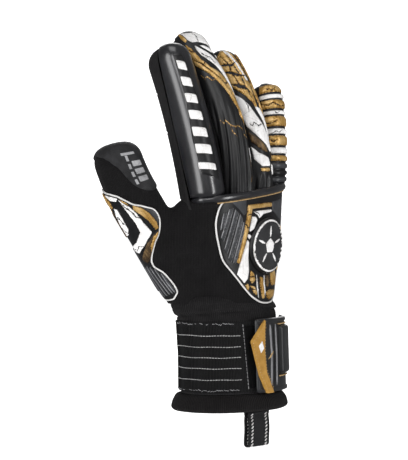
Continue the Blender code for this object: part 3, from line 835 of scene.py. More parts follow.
# Finishes by the name that the pieces use. The last numbers are each maker's own measures
FINISHES = {
    "knit": knit_finish("knit_black", (0.0022, 0.002, 0.0022), (0.013, 0.0124, 0.013), 1.1, 1.3, 0.24),
    "band": knit_finish("knit_band", (0.003, 0.0028, 0.003), (0.022, 0.021, 0.022), 1.6, 0.9, 0.4),
    "hem": knit_finish("knit_hem", (0.0024, 0.0021, 0.0022), (0.015, 0.0136, 0.0142), 1.3, 1.0, 0.3),
    "lining": knit_finish("lining_towel", (0.01, 0.01, 0.011), (0.045, 0.044, 0.046), 1.4, 1.4, 0.35, 0.04),
    "foam_black": foam_finish("foam_black", (0.0055, 0.005, 0.0055), (0.016, 0.0155, 0.016), 0.72),
    "foam_grey": foam_finish("foam_grey", (0.009, 0.009, 0.0098), (0.032, 0.032, 0.034), 0.55),
    "palm": foam_finish("foam_palm", (0.018, 0.018, 0.019), (0.05, 0.05, 0.052), 0.74, 0.9),
    "gloss": moulded_finish(
        "moulded_gloss", (0.006, 0.006, 0.007), (0.022, 0.022, 0.026), 0.3, 0.9, 0.04, 0.22
    ),
    "slate": moulded_finish("moulded_slate", (0.02, 0.021, 0.023), (0.065, 0.068, 0.075), 0.38, 0.5),
    "black": moulded_finish("moulded_black", (0.003, 0.003, 0.0034), (0.013, 0.013, 0.0145), 0.42, 0.35),
    # For the printed inks, the last number is how deep the painted shade is towards each shape's edge
    "gold": printed_finish("ink_gold", GOLD_SHADES, 0.34, 0.5, 0.4, 0.42),
    "dark_gold": printed_finish("ink_dark_gold", DARK_GOLD_SHADES, 0.42, 0.2),
    "white": printed_finish("ink_white", WHITE_SHADES, 0.5, 0.0, 0.1, 0.24),
    "elastic": woven_finish(
        "elastic_ribbed", (0.002, 0.002, 0.0021), (0.026, 0.026, 0.0275), 1.2, 0.8, 0.28
    ),
    "webbing": woven_finish("webbing_black", (0.008, 0.008, 0.009), (0.045, 0.045, 0.048), 0.9, 1.2, 0.3),
    "pile": knit_finish(
        "fastener_pile", (0.0012, 0.0012, 0.0014), (0.005, 0.005, 0.0056), 0.6, 0.6, 0.3, 0.01
    ),
    "strap": moulded_finish("strap_latex", (0.008, 0.0085, 0.0095), (0.03, 0.031, 0.034), 0.36, 0.5),
    "thread_white": thread_finish("thread_white", (0.45, 0.44, 0.43), (0.86, 0.85, 0.84)),
    "thread_pale": thread_finish("thread_pale", (0.2, 0.2, 0.2), (0.55, 0.55, 0.55)),
    "thread_grey": thread_finish("thread_grey", (0.12, 0.12, 0.125), (0.36, 0.36, 0.37)),
    "thread_tan": thread_finish("thread_tan", (0.2, 0.12, 0.05), (0.5, 0.34, 0.16)),
    "hooks": woven_finish("fastener_hooks", (0.006, 0.006, 0.007), (0.03, 0.03, 0.032), 1.1, 1.1, 0.5),
    "print_grey": printed_finish("ink_grey", GREY_SHADES, 0.6),
    # Grey for thin lines; on the back of the hand and the thumb patch it is painted highlight along the
    # slate ribs
    "line_grey": moulded_finish("line_grey", (0.13, 0.13, 0.137), (0.34, 0.34, 0.355), 0.4, 0.3),
    "badge": moulded_finish("badge_field", (0.014, 0.014, 0.015), (0.05, 0.05, 0.053), 0.4, 0.2),
    "piping_white": moulded_finish("piping_white", (0.5, 0.49, 0.48), (0.86, 0.85, 0.84), 0.45, 0.1, 0.12),
    "tab": foam_finish("tab_gold", (0.26, 0.13, 0.022), (0.5, 0.28, 0.06), 0.45, 0.8),
}


def inks(*names):
    """Finishes by name, in the order of the numbers that shapes call them by."""
    return [FINISHES[name] for name in names]


def dress(made, *names):
    """Gives an object its finishes."""
    made.data.materials.clear()
    for finish in inks(*names):
        made.data.materials.append(finish)


def attach(piece, nodes=(), body=None):
    """Hides the CAD nodes that a piece stands for, and hangs the piece on its body."""
    if nodes:
        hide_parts(*nodes)
    if body:
        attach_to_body(piece, body)


def trim(name, parts, finish, body=None):
    """Threads, cords or piping as one piece, with cloth coordinates from the place itself."""
    made = joined(name, parts)
    points = np.array([v.co for v in made.data.vertices]) / MM
    set_cloth(made, np.stack([points[:, 0] + points[:, 1], points[:, 2], points[:, 1]], axis=1))
    dress(made, finish)
    attach(made, body=body)
    return made


# ---------------------------------------------------------------- the knit body

HAND = hand_tube()
THUMB = thumb_tube()
DIGITS = {name: finger_tube(name) for name in FINGERS}
BODY_VOXEL = 1.6
BODY_SMOOTHING = 14
BODY_CUT_HEIGHT = 77.0
THUMB_TOP_ALONG = 14.0


def filled_tube(tube, alongs, lift, steps=64):
    """Points and faces of a tube closed flat at both ends."""
    degrees = np.linspace(0.0, 360.0, steps, endpoint=False)
    rings = [tube.at(degrees, np.full(steps, a), lift) for a in alongs]
    faces = grid_faces(len(rings), steps, True)
    faces.append(tuple(range(steps)))
    faces.append(tuple((len(rings) - 1) * steps + c for c in reversed(range(steps))))
    return np.vstack(rings), faces


def evaluated(made, name):
    """A new object with the modifiers of another applied, which it replaces."""
    depsgraph = bpy.context.evaluated_depsgraph_get()
    data = bpy.data.meshes.new_from_object(made.evaluated_get(depsgraph))
    data.name = name
    bpy.data.objects.remove(made)
    out = bpy.data.objects.new(name, data)
    bpy.context.scene.collection.objects.link(out)
    return out


def make_body():
    """The knit body of the hand and the thumb's root: one smooth closed skin."""
    parts = [filled_tube(HAND, np.arange(66.0, HAND_TOP + 0.1, 2.0), -BODY_INSET)]
    parts.append(filled_tube(THUMB, np.linspace(THUMB.along[0], THUMB_TOP_ALONG, 40), -0.2))
    web = Tube(
        [0.0, 8.0, 20.0, 32.0, 42.0, 48.0],
        [[-44, 4, 104], [-46, 5, 114], [-47, 6.5, 125], [-47.5, 7, 136], [-46, 4, 145], [-43, 1, 151]],
        [[1.0, 0.0, 0.0]] * 6,
        [[0.0, -1.0, 0.0]] * 6,
        [8.0, 12.0, 12.0, 11.0, 8.0, 6.0],
        [12.0, 15.0, 14.0, 12.0, 9.0, 7.0],
        2.0,
    )
    parts.append(filled_tube(web, np.linspace(0.0, 48.0, 18), 0.0, 32))
    for tube in DIGITS.values():
        parts.append(filled_tube(tube, np.linspace(-3.0, 1.0, 4), -1.4, 40))
    blocks = []
    for k, (points, faces) in enumerate(parts):
        block = add_mesh(f"body_block_{k}", points, faces)
        fix_normals(block)
        blocks.append(block)
    body = blocks[0]
    for block in blocks[1:]:
        step = body.modifiers.new("join", "BOOLEAN")
        step.operation = "UNION"
        step.solver = "EXACT"
        step.object = block
    remesh = body.modifiers.new("voxels", "REMESH")
    remesh.mode = "VOXEL"
    remesh.voxel_size = BODY_VOXEL * MM
    smooth = body.modifiers.new("relax", "SMOOTH")
    smooth.factor = 0.5
    smooth.iterations = BODY_SMOOTHING
    out = evaluated(body, "knit_body")
    for block in blocks[1:]:
        bpy.data.objects.remove(block)
    return out


def open_at_wrist(body):
    """Cuts the body's skin open at the wrist, and gives it a wall with towelling inside."""
    mesh = bmesh.new()
    mesh.from_mesh(body.data)
    bmesh.ops.bisect_plane(
        mesh,
        geom=mesh.verts[:] + mesh.edges[:] + mesh.faces[:],
        plane_co=(0.0, 0.0, BODY_CUT_HEIGHT * MM),
        plane_no=(0.0, 0.0, -1.0),
        clear_outer=True,
    )
    mesh.to_mesh(body.data)
    mesh.free()
    wall = body.modifiers.new("wall", "SOLIDIFY")
    wall.thickness = 2.0 * MM
    wall.offset = -1.0
    wall.material_offset = 1
    wall.use_even_offset = False
    return evaluated(body, "knit_body")


def body_cloth(points):
    """Cloth coordinates of the body: across it as the camera sees it, and up from the wrist."""
    across = 0.643 * points[:, 0] - 0.766 * points[:, 1]
    return np.stack([across, points[:, 2] + 0.1 * points[:, 0]], axis=1)


class BodySkin:
    """The knit body's outer skin, for laying panels and seams on it."""

    def __init__(self, body):
        points = [v.co / MM for v in body.data.vertices]
        self.tree = BVHTree.FromPolygons(points, [tuple(p.vertices) for p in body.data.polygons])

    def from_outside(self, origins, ways):
        """Where lines from outside first meet the skin, and its normals there."""
        places, aims = [], []
        for origin, way in zip(origins, ways):
            hit, normal = self.tree.ray_cast(Vector(origin), Vector(way))[:2]
            if hit is None:
                hit, normal = self.tree.find_nearest(Vector(origin))[:2]
            places.append(hit)
            aims.append(normal)
        return np.array(places), np.array(aims)

    def round_tube(self, tube, degrees, along):
        """The skin over a tube's line, looked up from outside, square to the line."""
        outside = tube.at(degrees, along, 24.0)
        centre = tube.column(tube.centres, along)
        return self.from_outside(outside, unit(centre - outside))


def relaxed(values, faces, rounds):
    """Values at vertices, averaged with their neighbours a few times."""
    count = len(values)
    for _ in range(rounds):
        total, weight = np.zeros_like(values), np.zeros(count)
        for a, b in ((0, 1), (1, 2), (2, 0)):
            for p, q in ((a, b), (b, a)):
                np.add.at(total, faces[:, p], values[faces[:, q]])
                np.add.at(weight, faces[:, p], 1.0)
        values = 0.5 * values + 0.5 * total / np.maximum(weight, 1.0)[:, None]
    return values


# ---------------------------------------------------------------- fingers

# Share of a finger's length at which its panels are cut in two
FINGER_SPLIT = 0.24
# Angles of the back panel's left and right edges
BACK_EDGES = (176.0, 4.0)
# A shape is its outline, ink number, height, edge rounding, corner rounding, and whether it lies on top.
# These are the ink numbers of the cracked prints
BLACK, GOLD, WHITE, LINE, DARK_GOLD, SLATE = range(6)
# Degrees round a finger are about this many mm
DEGREE = 0.27


def crack_outline(line, width):
    """A thin line in degrees and mm along, as an outline of about that width in mm."""
    scale = [DEGREE, 1.0]
    return ribbon(np.asarray(line, float) * scale, width) / scale


def cracks(lines, width, *looks):
    """Thin lines in degrees and mm along, as shapes that look the same."""
    return [(crack_outline(line, width), *looks) for line in lines]


def index_regions():
    """Plain raised bars down the middle of the panel, on one dark pad."""
    pad = [(137, 18), (84, 13), (86, 40), (90, 62), (95, 84), (98, 102), (130, 103), (134, 70), (143, 42)]
    shapes = [(pad, 1, 0.6, 1.0)]
    for k in range(7):
        middle = 95.0 - 12.0 * k
        half = 4.0 if k < 6 else 3.0
        left, right = 127.0 + 2.6 * k, 101.0 - 1.8 * k
        bar = [
            (left, middle - half + 1.2), (right, middle - half - 1.2), (right, middle + half - 2.8),
            (left, middle + half - 0.2),
        ]
        shapes.append((bar, 2, 0.6, 0.5, 0.9, True))
    return shapes


def middle_regions():
    """Gold and white blades that run down and across the finger, with cracks and forks."""
    gold = [
        (151, 113), (158, 106), (158, 95.5), (132, 86.5), (113, 78.7), (93, 69.3), (82, 61), (66, 54),
        (50, 44), (34, 38), (30, 46), (48, 55), (60, 63), (68, 73), (86, 82), (113, 89.6), (132, 98),
        (141, 108),
    ]
    white = [
        (126, 108.6), (107, 103), (91, 98.6), (79, 93.6), (64, 86), (54, 77), (40, 64), (28, 58),
        (30, 50), (44, 57), (58, 66.5), (68, 76), (80, 82.5), (90, 88.6), (107, 94.6), (123, 99.8),
        (129, 105.5),
    ]
    top = [
        (138, 121.6), (112, 118.5), (85, 117.5), (62, 115), (54, 108), (66, 104.5), (79, 107.5),
        (97, 109.2), (127, 111.4), (136, 114.6),
    ]
    shapes = [
        (gold, GOLD, 1.0, 1.6),
        (white, WHITE, 0.9, 1.2),
        (top, WHITE, 0.8, 1.2),
        ([(148, 123.4), (140, 122.2), (138.5, 114.4), (147, 113.6), (152, 118)], GOLD, 0.7, 0.8),
        ([(110, 107.2), (97, 106.6), (82, 104.4), (72, 100.6), (84, 101.0), (100, 104.4)], WHITE, 0.7, 0.7),
        ([(62, 101), (50, 98), (36, 86), (24, 70), (36, 76), (52, 89)], WHITE, 0.8, 1.0),
        ([(66, 99.6), (56, 93), (46, 84), (54, 86), (64, 94)], GOLD, 0.7, 0.7),
        ([(40, 100), (26, 92), (18, 76), (14, 88), (24, 104)], GOLD, 0.8, 1.0),
        ([(46, 34), (30, 26), (20, 8), (36, 6), (46, 20)], WHITE, 0.8, 1.0),
    ]
    lines = [
        [(124, 103), (112, 98), (100, 97), (92, 92)],
        [(152, 108), (140, 104), (134, 106)],
        [(142, 96), (132, 93), (124, 94.5)],
        [(98, 78), (88, 76), (78, 78)],
        [(84, 92), (72, 90), (62, 83)],
        [(108, 119), (102, 114), (106, 109)],
        [(76, 116), (70, 111), (74, 106)],
    ]
    vein = [(156, 101), (136, 93.5), (116, 86), (96, 78), (82, 70), (66, 61)]
    forks = [
        [(157, 87.7), (150, 83.6), (142, 85), (130, 80.5), (118, 80.8)],
        [(152, 53), (142, 50), (136, 52), (124, 48.4), (107, 46), (94, 47), (80, 43), (62, 37)],
        [(62, 37), (58, 31), (70, 26), (74, 21), (70, 16), (82, 10)],
        [(124, 48.4), (120, 43), (110, 40)],
    ]
    shapes += cracks(lines, 0.75, BLACK, 0.1, 0.4, 0.0) + cracks([vein], 0.4, DARK_GOLD, 0.8, 0.3, 0.0)
    return shapes + cracks(forks, 0.75, LINE, 0.3, 0.4, 0.0)


def ring_regions():
    """A gold field broken by dark cracks, crossed by white blades."""
    gold = [
        (150, 100), (124, 102.6), (98, 100.8), (90, 95.3), (86, 83.6), (86, 73.7), (89, 62), (88, 53),
        (98, 59.4), (122, 66.8), (146, 72.8), (156, 78), (158, 92),
    ]
    blade = [
        (156, 70.1), (135, 64.9), (116, 58.6), (100, 50.9), (84, 44.4), (68, 36), (58, 27), (72, 27.6),
        (86, 31.2), (109, 36.2), (147, 45.4), (154, 56),
    ]
    shapes = [
        (gold, GOLD, 1.0, 1.6),
        ([(113, 102), (102, 97.1), (95, 90.4), (91, 82.4), (87, 76.5), (95, 76.5), (100, 84.7),
          (106, 92.9), (119, 99.6)],
         WHITE, 1.1, 0.8),
        (blade, WHITE, 0.9, 1.2),
        ([(97, 57.4), (84, 50.4), (66, 42), (50, 34), (46, 40), (62, 50), (80, 57)], WHITE, 0.9, 0.9),
        ([(82, 76), (80, 66), (72, 58), (54, 50), (36, 48), (40, 60), (60, 70)], GOLD, 0.9, 1.2),
        ([(82, 98), (74, 84), (58, 72), (36, 64), (20, 58), (22, 74), (44, 90), (64, 100)], GOLD, 0.9, 1.4),
        ([(147, 41.6), (118, 37.0), (88, 29.4), (86, 26.4), (104, 27.7), (142, 34.2)], DARK_GOLD, 0.8, 1.0),
        ([(146, 31.5), (119, 26.3), (86, 23.2), (80, 17.8), (112, 17.6), (140, 22.6)], WHITE, 0.9, 1.1),
        ([(120, 16.6), (84, 16.6), (84, 14.4), (116, 14.6)], GOLD, 0.6, 0.7),
        ([(70, 24), (50, 22), (28, 28), (30, 36), (46, 30), (62, 27)], DARK_GOLD, 0.8, 1.0),
        ([(72, 15), (56, 12), (34, 14), (30, 22), (50, 19), (68, 19)], WHITE, 0.8, 0.9),
    ]
    wedges = [
        [(158, 93.4), (140, 90.4), (118, 88.6), (96, 91.8), (118, 90.2), (140, 92.4)],
        [(158, 87.4), (138, 83.6), (116, 80.4), (86, 79.6), (114, 82.4), (136, 85.8)],
        [(152, 77.0), (130, 72.4), (108, 69.8), (90, 64.6), (104, 72.2), (126, 74.8)],
        [(140, 99), (130, 92), (133, 84), (128, 76), (118, 68), (126, 77.6), (130.6, 84), (127, 92)],
        [(116, 97), (110, 88), (106, 80), (102, 68), (96, 60), (104, 68), (108.6, 80), (113, 88)],
    ]
    shapes += [(wedge, BLACK, 0.1, 0.5, 0.3) for wedge in wedges]
    lines = [
        [(134, 46.6), (126, 44.6), (118, 46.8), (104, 44.4), (90, 45.4)],
        [(128, 62.4), (122, 58.6), (126, 54.0)],
        [(62, 96), (52, 82), (40, 78)],
        [(44, 88), (36, 76), (26, 72)],
    ]
    return shapes + cracks(lines, 0.85, BLACK, 0.1, 0.4, 0.0)


def little_regions():
    """Rounded bands across the finger, gold and white in turn."""
    bands = [
        (67.6, 72.6, GOLD, 2.4),
        (63.6, 66.2, WHITE, 1.3),
        (56.4, 62.4, GOLD, 2.6),
        (52.2, 54.8, WHITE, 1.3),
        (43.8, 50.9, GOLD, 3.0),
        (38.6, 42.2, WHITE, 1.7),
        (30.4, 37.2, GOLD, 2.8),
        (24.8, 28.9, WHITE, 1.9),
        (19.6, 23.4, GOLD, 1.8),
        (14.4, 18.2, SLATE, 1.8),
        (9.6, 13.2, BLACK, 1.7),
        (4.6, 8.4, SLATE, 1.7),
    ]
    shapes = []
    for low, high, ink, edge in bands:
        right = 20.0 if ink == SLATE else 44.0
        outline = [
            (171, low - 0.4), (130, low + 0.1), (86, low + 0.6), (right, low + 0.4),
            (right, high + 0.4), (86, high + 0.6), (130, high + 0.1), (171, high - 0.4),
        ]
        shapes.append((outline, ink, 1.2, edge, 0.9))
    lines = [
        [(170, 60.5), (140, 58.5), (120, 60.5), (90, 58.0), (60, 60.0)],
        [(164, 47.0), (140, 45.5), (110, 48.0)],
        [(134, 38.4), (118, 40.6), (104, 39.4), (90, 42.4)],
        [(150, 36.0), (130, 33.0), (112, 34.4)],
        [(120, 54.6), (108, 53.0), (96, 54.6)],
        [(140, 70.0), (116, 68.8), (92, 71.0)],
    ]
    return shapes + cracks(lines, 0.55, BLACK, 0.5, 0.3, 0.0)


def finger_ribs(name):
    """Extra relief of a finger's back: long ribs low down on the middle and ring fingers."""
    pitch, slant, rise = 24.0, 0.5, 1.5

    def extra(degrees, along):
        if name in ("index", "little"):
            return np.zeros_like(along)
        reach = 74.0 if name == "middle" else 14.0
        low = smooth_step(reach, reach * 0.6, along)
        ridge = np.abs(np.sin(np.radians(180.0 * (degrees + slant * along) / pitch)))
        return rise * low * (ridge**0.8 - 0.7)

    return extra


REGIONS = {
    "index": index_regions,
    "middle": middle_regions,
    "ring": ring_regions,
    "little": little_regions,
}
INDEX_INKS = ("gloss", "black", "white")
FINGER_INKS = ("black", "gold", "white", "gold", "dark_gold", "slate")
HAND_INKS = ("black", "gold", "white", "line_grey", "dark_gold", "slate")


def point_on(tube, along):
    """A point of a tube's centre line, in metres."""
    return tuple(tube.column(tube.centres, np.array([along]))[0] * MM)


def extend(tube, below):
    """Carries a tube straight on below its root."""
    heading = unit(tube.centres[1] - tube.centres[0])
    tube.along = np.concatenate([[-below], tube.along])
    tube.centres = np.vstack([tube.centres[0] - heading * below, tube.centres])
    for table in ("sides", "backs", "widths", "depths"):
        values = getattr(tube, table)
        setattr(tube, table, np.concatenate([values[:1], values]))


def blend_along(piece, tube, low, high, first, second):
    """Bakes a piece's transform into its mesh; it does not bend the piece from one body to the next."""
    point_on(tube, low)
    point_on(tube, high)
    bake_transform(piece)


# Mesh spacing of each finger's printed back, finer where the print is finer
PRINT_SPACING = {"index": 0.95, "middle": 0.7, "ring": 0.7, "little": 0.8}


def make_finger(name):
    """One finger: a printed back panel, and foam round its sides and gripping side."""
    tube, middle, spacing = DIGITS[name], MIDDLE_AT[name], PRINT_SPACING[name]
    top = tube.length
    split = top * FINGER_SPLIT
    left, right = BACK_EDGES
    index = name == "index"
    low, edge = (3.6, 3.6) if index else (1.0, 1.8)
    wide = [182.0, 187.0, 188.0, 181.0] if index else [left] * 4
    heights = [24.0, top * 0.5, top * 0.8]
    outline = [*zip(wide, [low, *heights]), (left, top), (right, top), (right, top * 0.5), (right, low)]
    panel = SurfacePanel(tube, resampled(outline, 8.0), REGIONS[name](), -1.9, 1.9, edge, 1.6, spacing)
    finishes = inks(*(INDEX_INKS if index else FINGER_INKS))
    pieces = panel.build([f"{name}_back_lower", f"{name}_back_upper"], finishes, split, finger_ribs(name))

    outline = [*zip([angle + 1.5 for angle in wide], [-5.0, *heights])]
    outline += [(left + 1.5, top), (right + 358.5, top), (right + 358.5, -5.0)]
    creases = []
    for side in (left + 14.0, right + 346.0):
        seam = [(side - 1.6, -4.0), (side - 1.6, top - 9), (side + 1.6, top - 9), (side + 1.6, -4.0)]
        creases.append((seam, 0, -0.35, 0.3, 0.0))
    for at in (2.0, middle, middle + 0.26 * top):
        crease = [(214, at - 0.9), (326, at - 0.9), (326, at + 0.9), (214, at + 0.9)]
        creases.append((crease, 0, -0.5, 0.7, 0.0))
    foam = SurfacePanel(tube, resampled(outline, 8.0), creases, -1.2, 0.9, 1.6, 1.6, 1.6)
    pieces += foam.build([f"{name}_foam_lower", f"{name}_foam_upper"], inks("foam_black"), split)

    root, tip = f"{name}_root", f"{name}_tip"
    for piece in pieces[::2]:
        blend_along(piece, tube, -5.0, 12.0, "hand", root)
    for piece in pieces[1::2]:
        blend_along(piece, tube, middle - 13.0, middle + 13.0, root, tip)
    root_foam = (f"{root}_latex", f"{root}_sleeve")
    attach(pieces[0], [f"{root}_back"])
    attach(pieces[1], [f"{root}_back", f"{tip}_back"])
    attach(pieces[2], root_foam)
    attach(pieces[3], [*root_foam, f"{tip}_latex", f"{tip}_sleeve"])


# ---------------------------------------------------------------- the thumb

# Two distances along the thumb at its root, given to blend_along for the knit and its patch
THUMB_BEND = (-16.0, 0.0)
THUMB_PATCH = [
    (185, 15.5), (165, 14.8), (135, 12.6), (116, 9.8), (105, 5.8), (97, 1.9), (90, -1.3), (81, -5.1),
    (67, -9.4), (63, -13.4), (66, -18.0), (77, -23.4), (90, -28.7), (100, -32.6), (116, -37.8),
    (127, -42.0), (129, -45.8), (122, -48.9), (113, -52.1), (109, -57.2), (105, -64.1), (106, -70.0),
    (125, -73.5), (160, -73.0), (185, -66.0), (198, -48.0), (206, -25.0), (208, 0.0), (200, 12.0),
]
THUMB_FOAM = [
    (-90, 8), (-60, 1), (0, 0), (35, 1), (56, 4), (70, 8), (79, 12), (87, 20), (91, 27), (103, 32.5),
    (117, 35.2), (150, 37), (200, 33.5), (235, 26), (250, 20), (270, 8), (270, 60), (-90, 60),
]


def make_thumb():
    """The free thumb: grey foam over its gripping side and tip, with knit behind."""
    outline = [
        (-90, 3), (-60, -3), (0, -4.5), (35, -4), (56, -1), (72, 5), (85, 8.5), (205, 8.5), (240, 7),
        (262, 5), (270, 3), (270, THUMB_LENGTH), (90, THUMB_LENGTH), (-90, THUMB_LENGTH),
    ]
    shapes = [(resampled(THUMB_FOAM, 8.0), 1, 1.3, 1.8)]
    for low in (12.0, 18.0, 24.0):
        bar = [(62, low), (34, low - 1.6), (34, low + 2.4), (62, low + 4.0)]
        shapes.append((bar, 2, 0.12, 0.3, 0.5, True))
    dashes = [[(80, 33.2), (44, 31.8), (44, 33.4), (80, 34.8)]]
    for low in (11.5, 17.3, 23.1, 28.9):
        dashes.insert(-1, [(73, low), (67, low - 0.4), (67, low + 3.4), (73, low + 3.8)])
    shapes += [(dash, 2, 0.1, 0.3, 0.3, True) for dash in dashes]
    panel = SurfacePanel(THUMB, resampled(outline, 8.0), shapes, -0.7, 0.5, 1.6, 1.4, 1.0)
    made = panel.build(["thumb_free"], inks("knit", "foam_grey", "print_grey"))[0]
    blend_along(made, THUMB, 12.0, 28.0, "thumb_root", "thumb_tip")
    nodes = [f"thumb_{part}_{kind}" for part in ("root", "tip") for kind in ("back", "latex", "sleeve")]
    attach(made, nodes)


def thumb_patch_shapes():
    """White and gold blades with cracks, over dark ribs with painted highlight lines on their crests."""
    shapes = [
        ([(86, -4.5), (70, -9.8), (66, -13.4), (68, -17), (74, -20.4), (76, -15), (80, -9)],
         SLATE, 0.4, 1.0),
        ([(119, 8), (112, 5.5), (104, 1), (98, -5), (95, -13.7), (91, -23.2), (104, -26), (122, -29.5),
          (150, -33.5), (165, -31), (160, -27), (137, -25), (111, -19.2), (110, -11.5), (116, 2)],
         WHITE, 0.9, 1.2),
        ([(138, 2), (138, -6), (139, -14), (150, -18), (160, -19), (163, -10), (156, -2), (147, 3.4)],
         WHITE, 0.8, 1.0),
        ([(168, 1), (167, -8), (165, -19), (174, -21), (178, -10), (176, 0)], DARK_GOLD, 0.9, 1.0),
        ([(184, 3), (182, -6), (184, -18), (198, -17), (201, -3), (194, 6)], GOLD, 0.8, 1.2),
        ([(96, 0.6), (88, -4), (80, -10), (76, -18), (79, -23), (86, -23), (88, -15), (93, -7.5),
          (99, -2)], GOLD, 1.1, 1.3),
        ([(78, -24), (90, -29.5), (101, -33.5), (118, -39), (140, -42.5), (152, -38), (130, -33),
          (108, -28), (90, -25)],
         DARK_GOLD, 0.9, 1.2),
        ([(80, -24.4), (90, -28.8), (100, -32.4), (112, -35.8), (106, -31), (92, -26.2)], GOLD, 1.1, 0.8),
        ([(178, 14.0), (165, 13), (147, 8), (152, 3), (170, 5), (190, 8)], GOLD, 0.9, 1.2),
        ([(158, 13), (133, 11), (118, 8.6), (126, 7), (143, 8.6)], WHITE, 0.7, 0.8),
        ([(114, 7.6), (106, 4.0), (101, 0.5), (104, 1.4), (113, 5.6)], GOLD, 0.8, 0.6),
    ]
    lines = [
        [(119, 6), (110, 0), (104, -3), (101, -8), (95, -10)],
        [(174, -2), (162, -6), (150, -3), (142, -9), (137, -10)],
        [(176, -14), (160, -12), (148, -17), (140, -15)],
        [(163, -29), (146, -30.5), (134, -28), (122, -29.5)],
        [(203, -8), (194, -10), (186, -6), (181, -8)],
    ]
    shapes += cracks(lines, 0.8, BLACK, 0.1, 0.4, 0.0)
    ribs = [(118, 112, -52), (128, 118, -47), (139, 127, -45), (151, 138, -44), (163, 150, -45)]
    for low, high, start in ribs:
        line = [(low, start), ((low + high) / 2 + 1, start / 2 - 34), (high, -69.5)]
        rib = resampled(line, 6.0, False)
        # The thin grey line down the middle of each slate rib is a painted highlight on its crest
        shapes += cracks([rib], 2.0, SLATE, 0.8, 0.9, 0.0) + cracks([rib], 0.5, LINE, 0.25, 0.3, 0.0, True)
    for low in (176, 190):
        rib = resampled([(low + 6, -30), (low, -50), (low - 8, -66)], 6.0, False)
        shapes += cracks([rib], 3.0, SLATE, 0.8, 1.2, 0.0)
    return shapes


def on_thumb(skin, degrees, along):
    """Places and normals on the thumb: the knit body's skin, and the free thumb past its knuckle."""
    places, aims = skin.round_tube(THUMB, degrees, along)
    share = smooth_step(2.0, 8.0, along)[:, None]
    places = places * (1.0 - share) + THUMB.at(degrees, along, -0.3) * share
    aims = unit(unit(aims) * (1.0 - share) + THUMB.normals(degrees, along) * share)
    return places, aims


def make_thumb_patch(skin):
    """The printed moulded patch on the back of the thumb's root, with white piping round it."""
    outline = rounded(resampled(THUMB_PATCH, 12.0), 3.0, 2)
    layout = SurfacePanel(THUMB, outline, thumb_patch_shapes(), 0.0, 1.1, 1.0, 1.4, 0.9)
    degrees = np.interp(layout.plan[:, 0], layout.arc, layout.angles)
    places, aims = on_thumb(skin, degrees, layout.plan[:, 1])
    aims = unit(relaxed(aims, layout.faces, 10))
    places = relaxed(places, layout.faces, 4)
    points = places + aims * (0.1 + layout.heights)[:, None]
    faces, normals = layout.faces, vertex_normals(points, layout.faces)
    name, finishes = "thumb_patch_print", inks(*HAND_INKS)
    patch = shell_objects([name], points, faces, layout.inks, finishes, normals, 1.4, layout.cloth)[0]
    attach(patch, ["thumb_patch"])
    line = resampled(outline, 3.0)
    places, aims = on_thumb(skin, line[:, 0], line[:, 1])
    cord = tube_along(places + unit(aims) * 0.55, 0.6, 8, True)
    piping = trim("thumb_patch_piping", [cord], "piping_white")
    for piece in (patch, piping):
        blend_along(piece, THUMB, *THUMB_BEND, "hand", "thumb_root")


# ---------------------------------------------------------------- the back of the hand

PANEL_LIFT = -2.7
BACK_PANEL = [
    (-31.0, 150.4), (-35.9, 148.8), (-38.0, 144.6), (-39.5, 135.4), (-38.0, 126.3), (-33.4, 112.0),
    (-30.7, 106.4), (-17.9, 93.0), (-7.3, 81.8), (2.4, 77.2), (13.3, 76.4), (22.0, 78.0), (30.0, 85.0),
    (36.0, 102.0), (39.5, 120.0), (40.5, 138.0), (39.0, 158.0), (14.0, 155.4), (-12.0, 152.6),
]
BADGE_CENTRE = (11.6, 117.6)
BADGE_RADIUS = 20.3


def on_back(points):
    """Places on the back of the hand, given as x and z in mm, as angles and heights on its tube."""
    points = np.asarray(points, float)
    x, z = points[:, 0], points[:, 1]
    height = z.copy()
    for _ in range(6):
        height = z - np.maximum(0.0, (height - HAND_BOTTOM) / (HAND_TOP - HAND_BOTTOM)) * HAND_TOP_SLOPE * x
    middle, width = (np.interp(height, HAND.along, table) for table in (HAND.centres[:, 0], HAND.widths))
    share = np.clip((x - middle) / width, -0.999, 0.999)
    cosine = np.sign(share) * np.abs(share) ** (HAND.power / 2.0)
    return np.stack([np.degrees(np.arccos(cosine)), height], axis=1)


def circle(centre, radius, count, start=0.0):
    """Points round a circle."""
    angles = np.linspace(0.0, 2.0 * math.pi, count, endpoint=False) + math.radians(start)
    return np.stack([centre[0] + radius * np.cos(angles), centre[1] + radius * np.sin(angles)], axis=1)


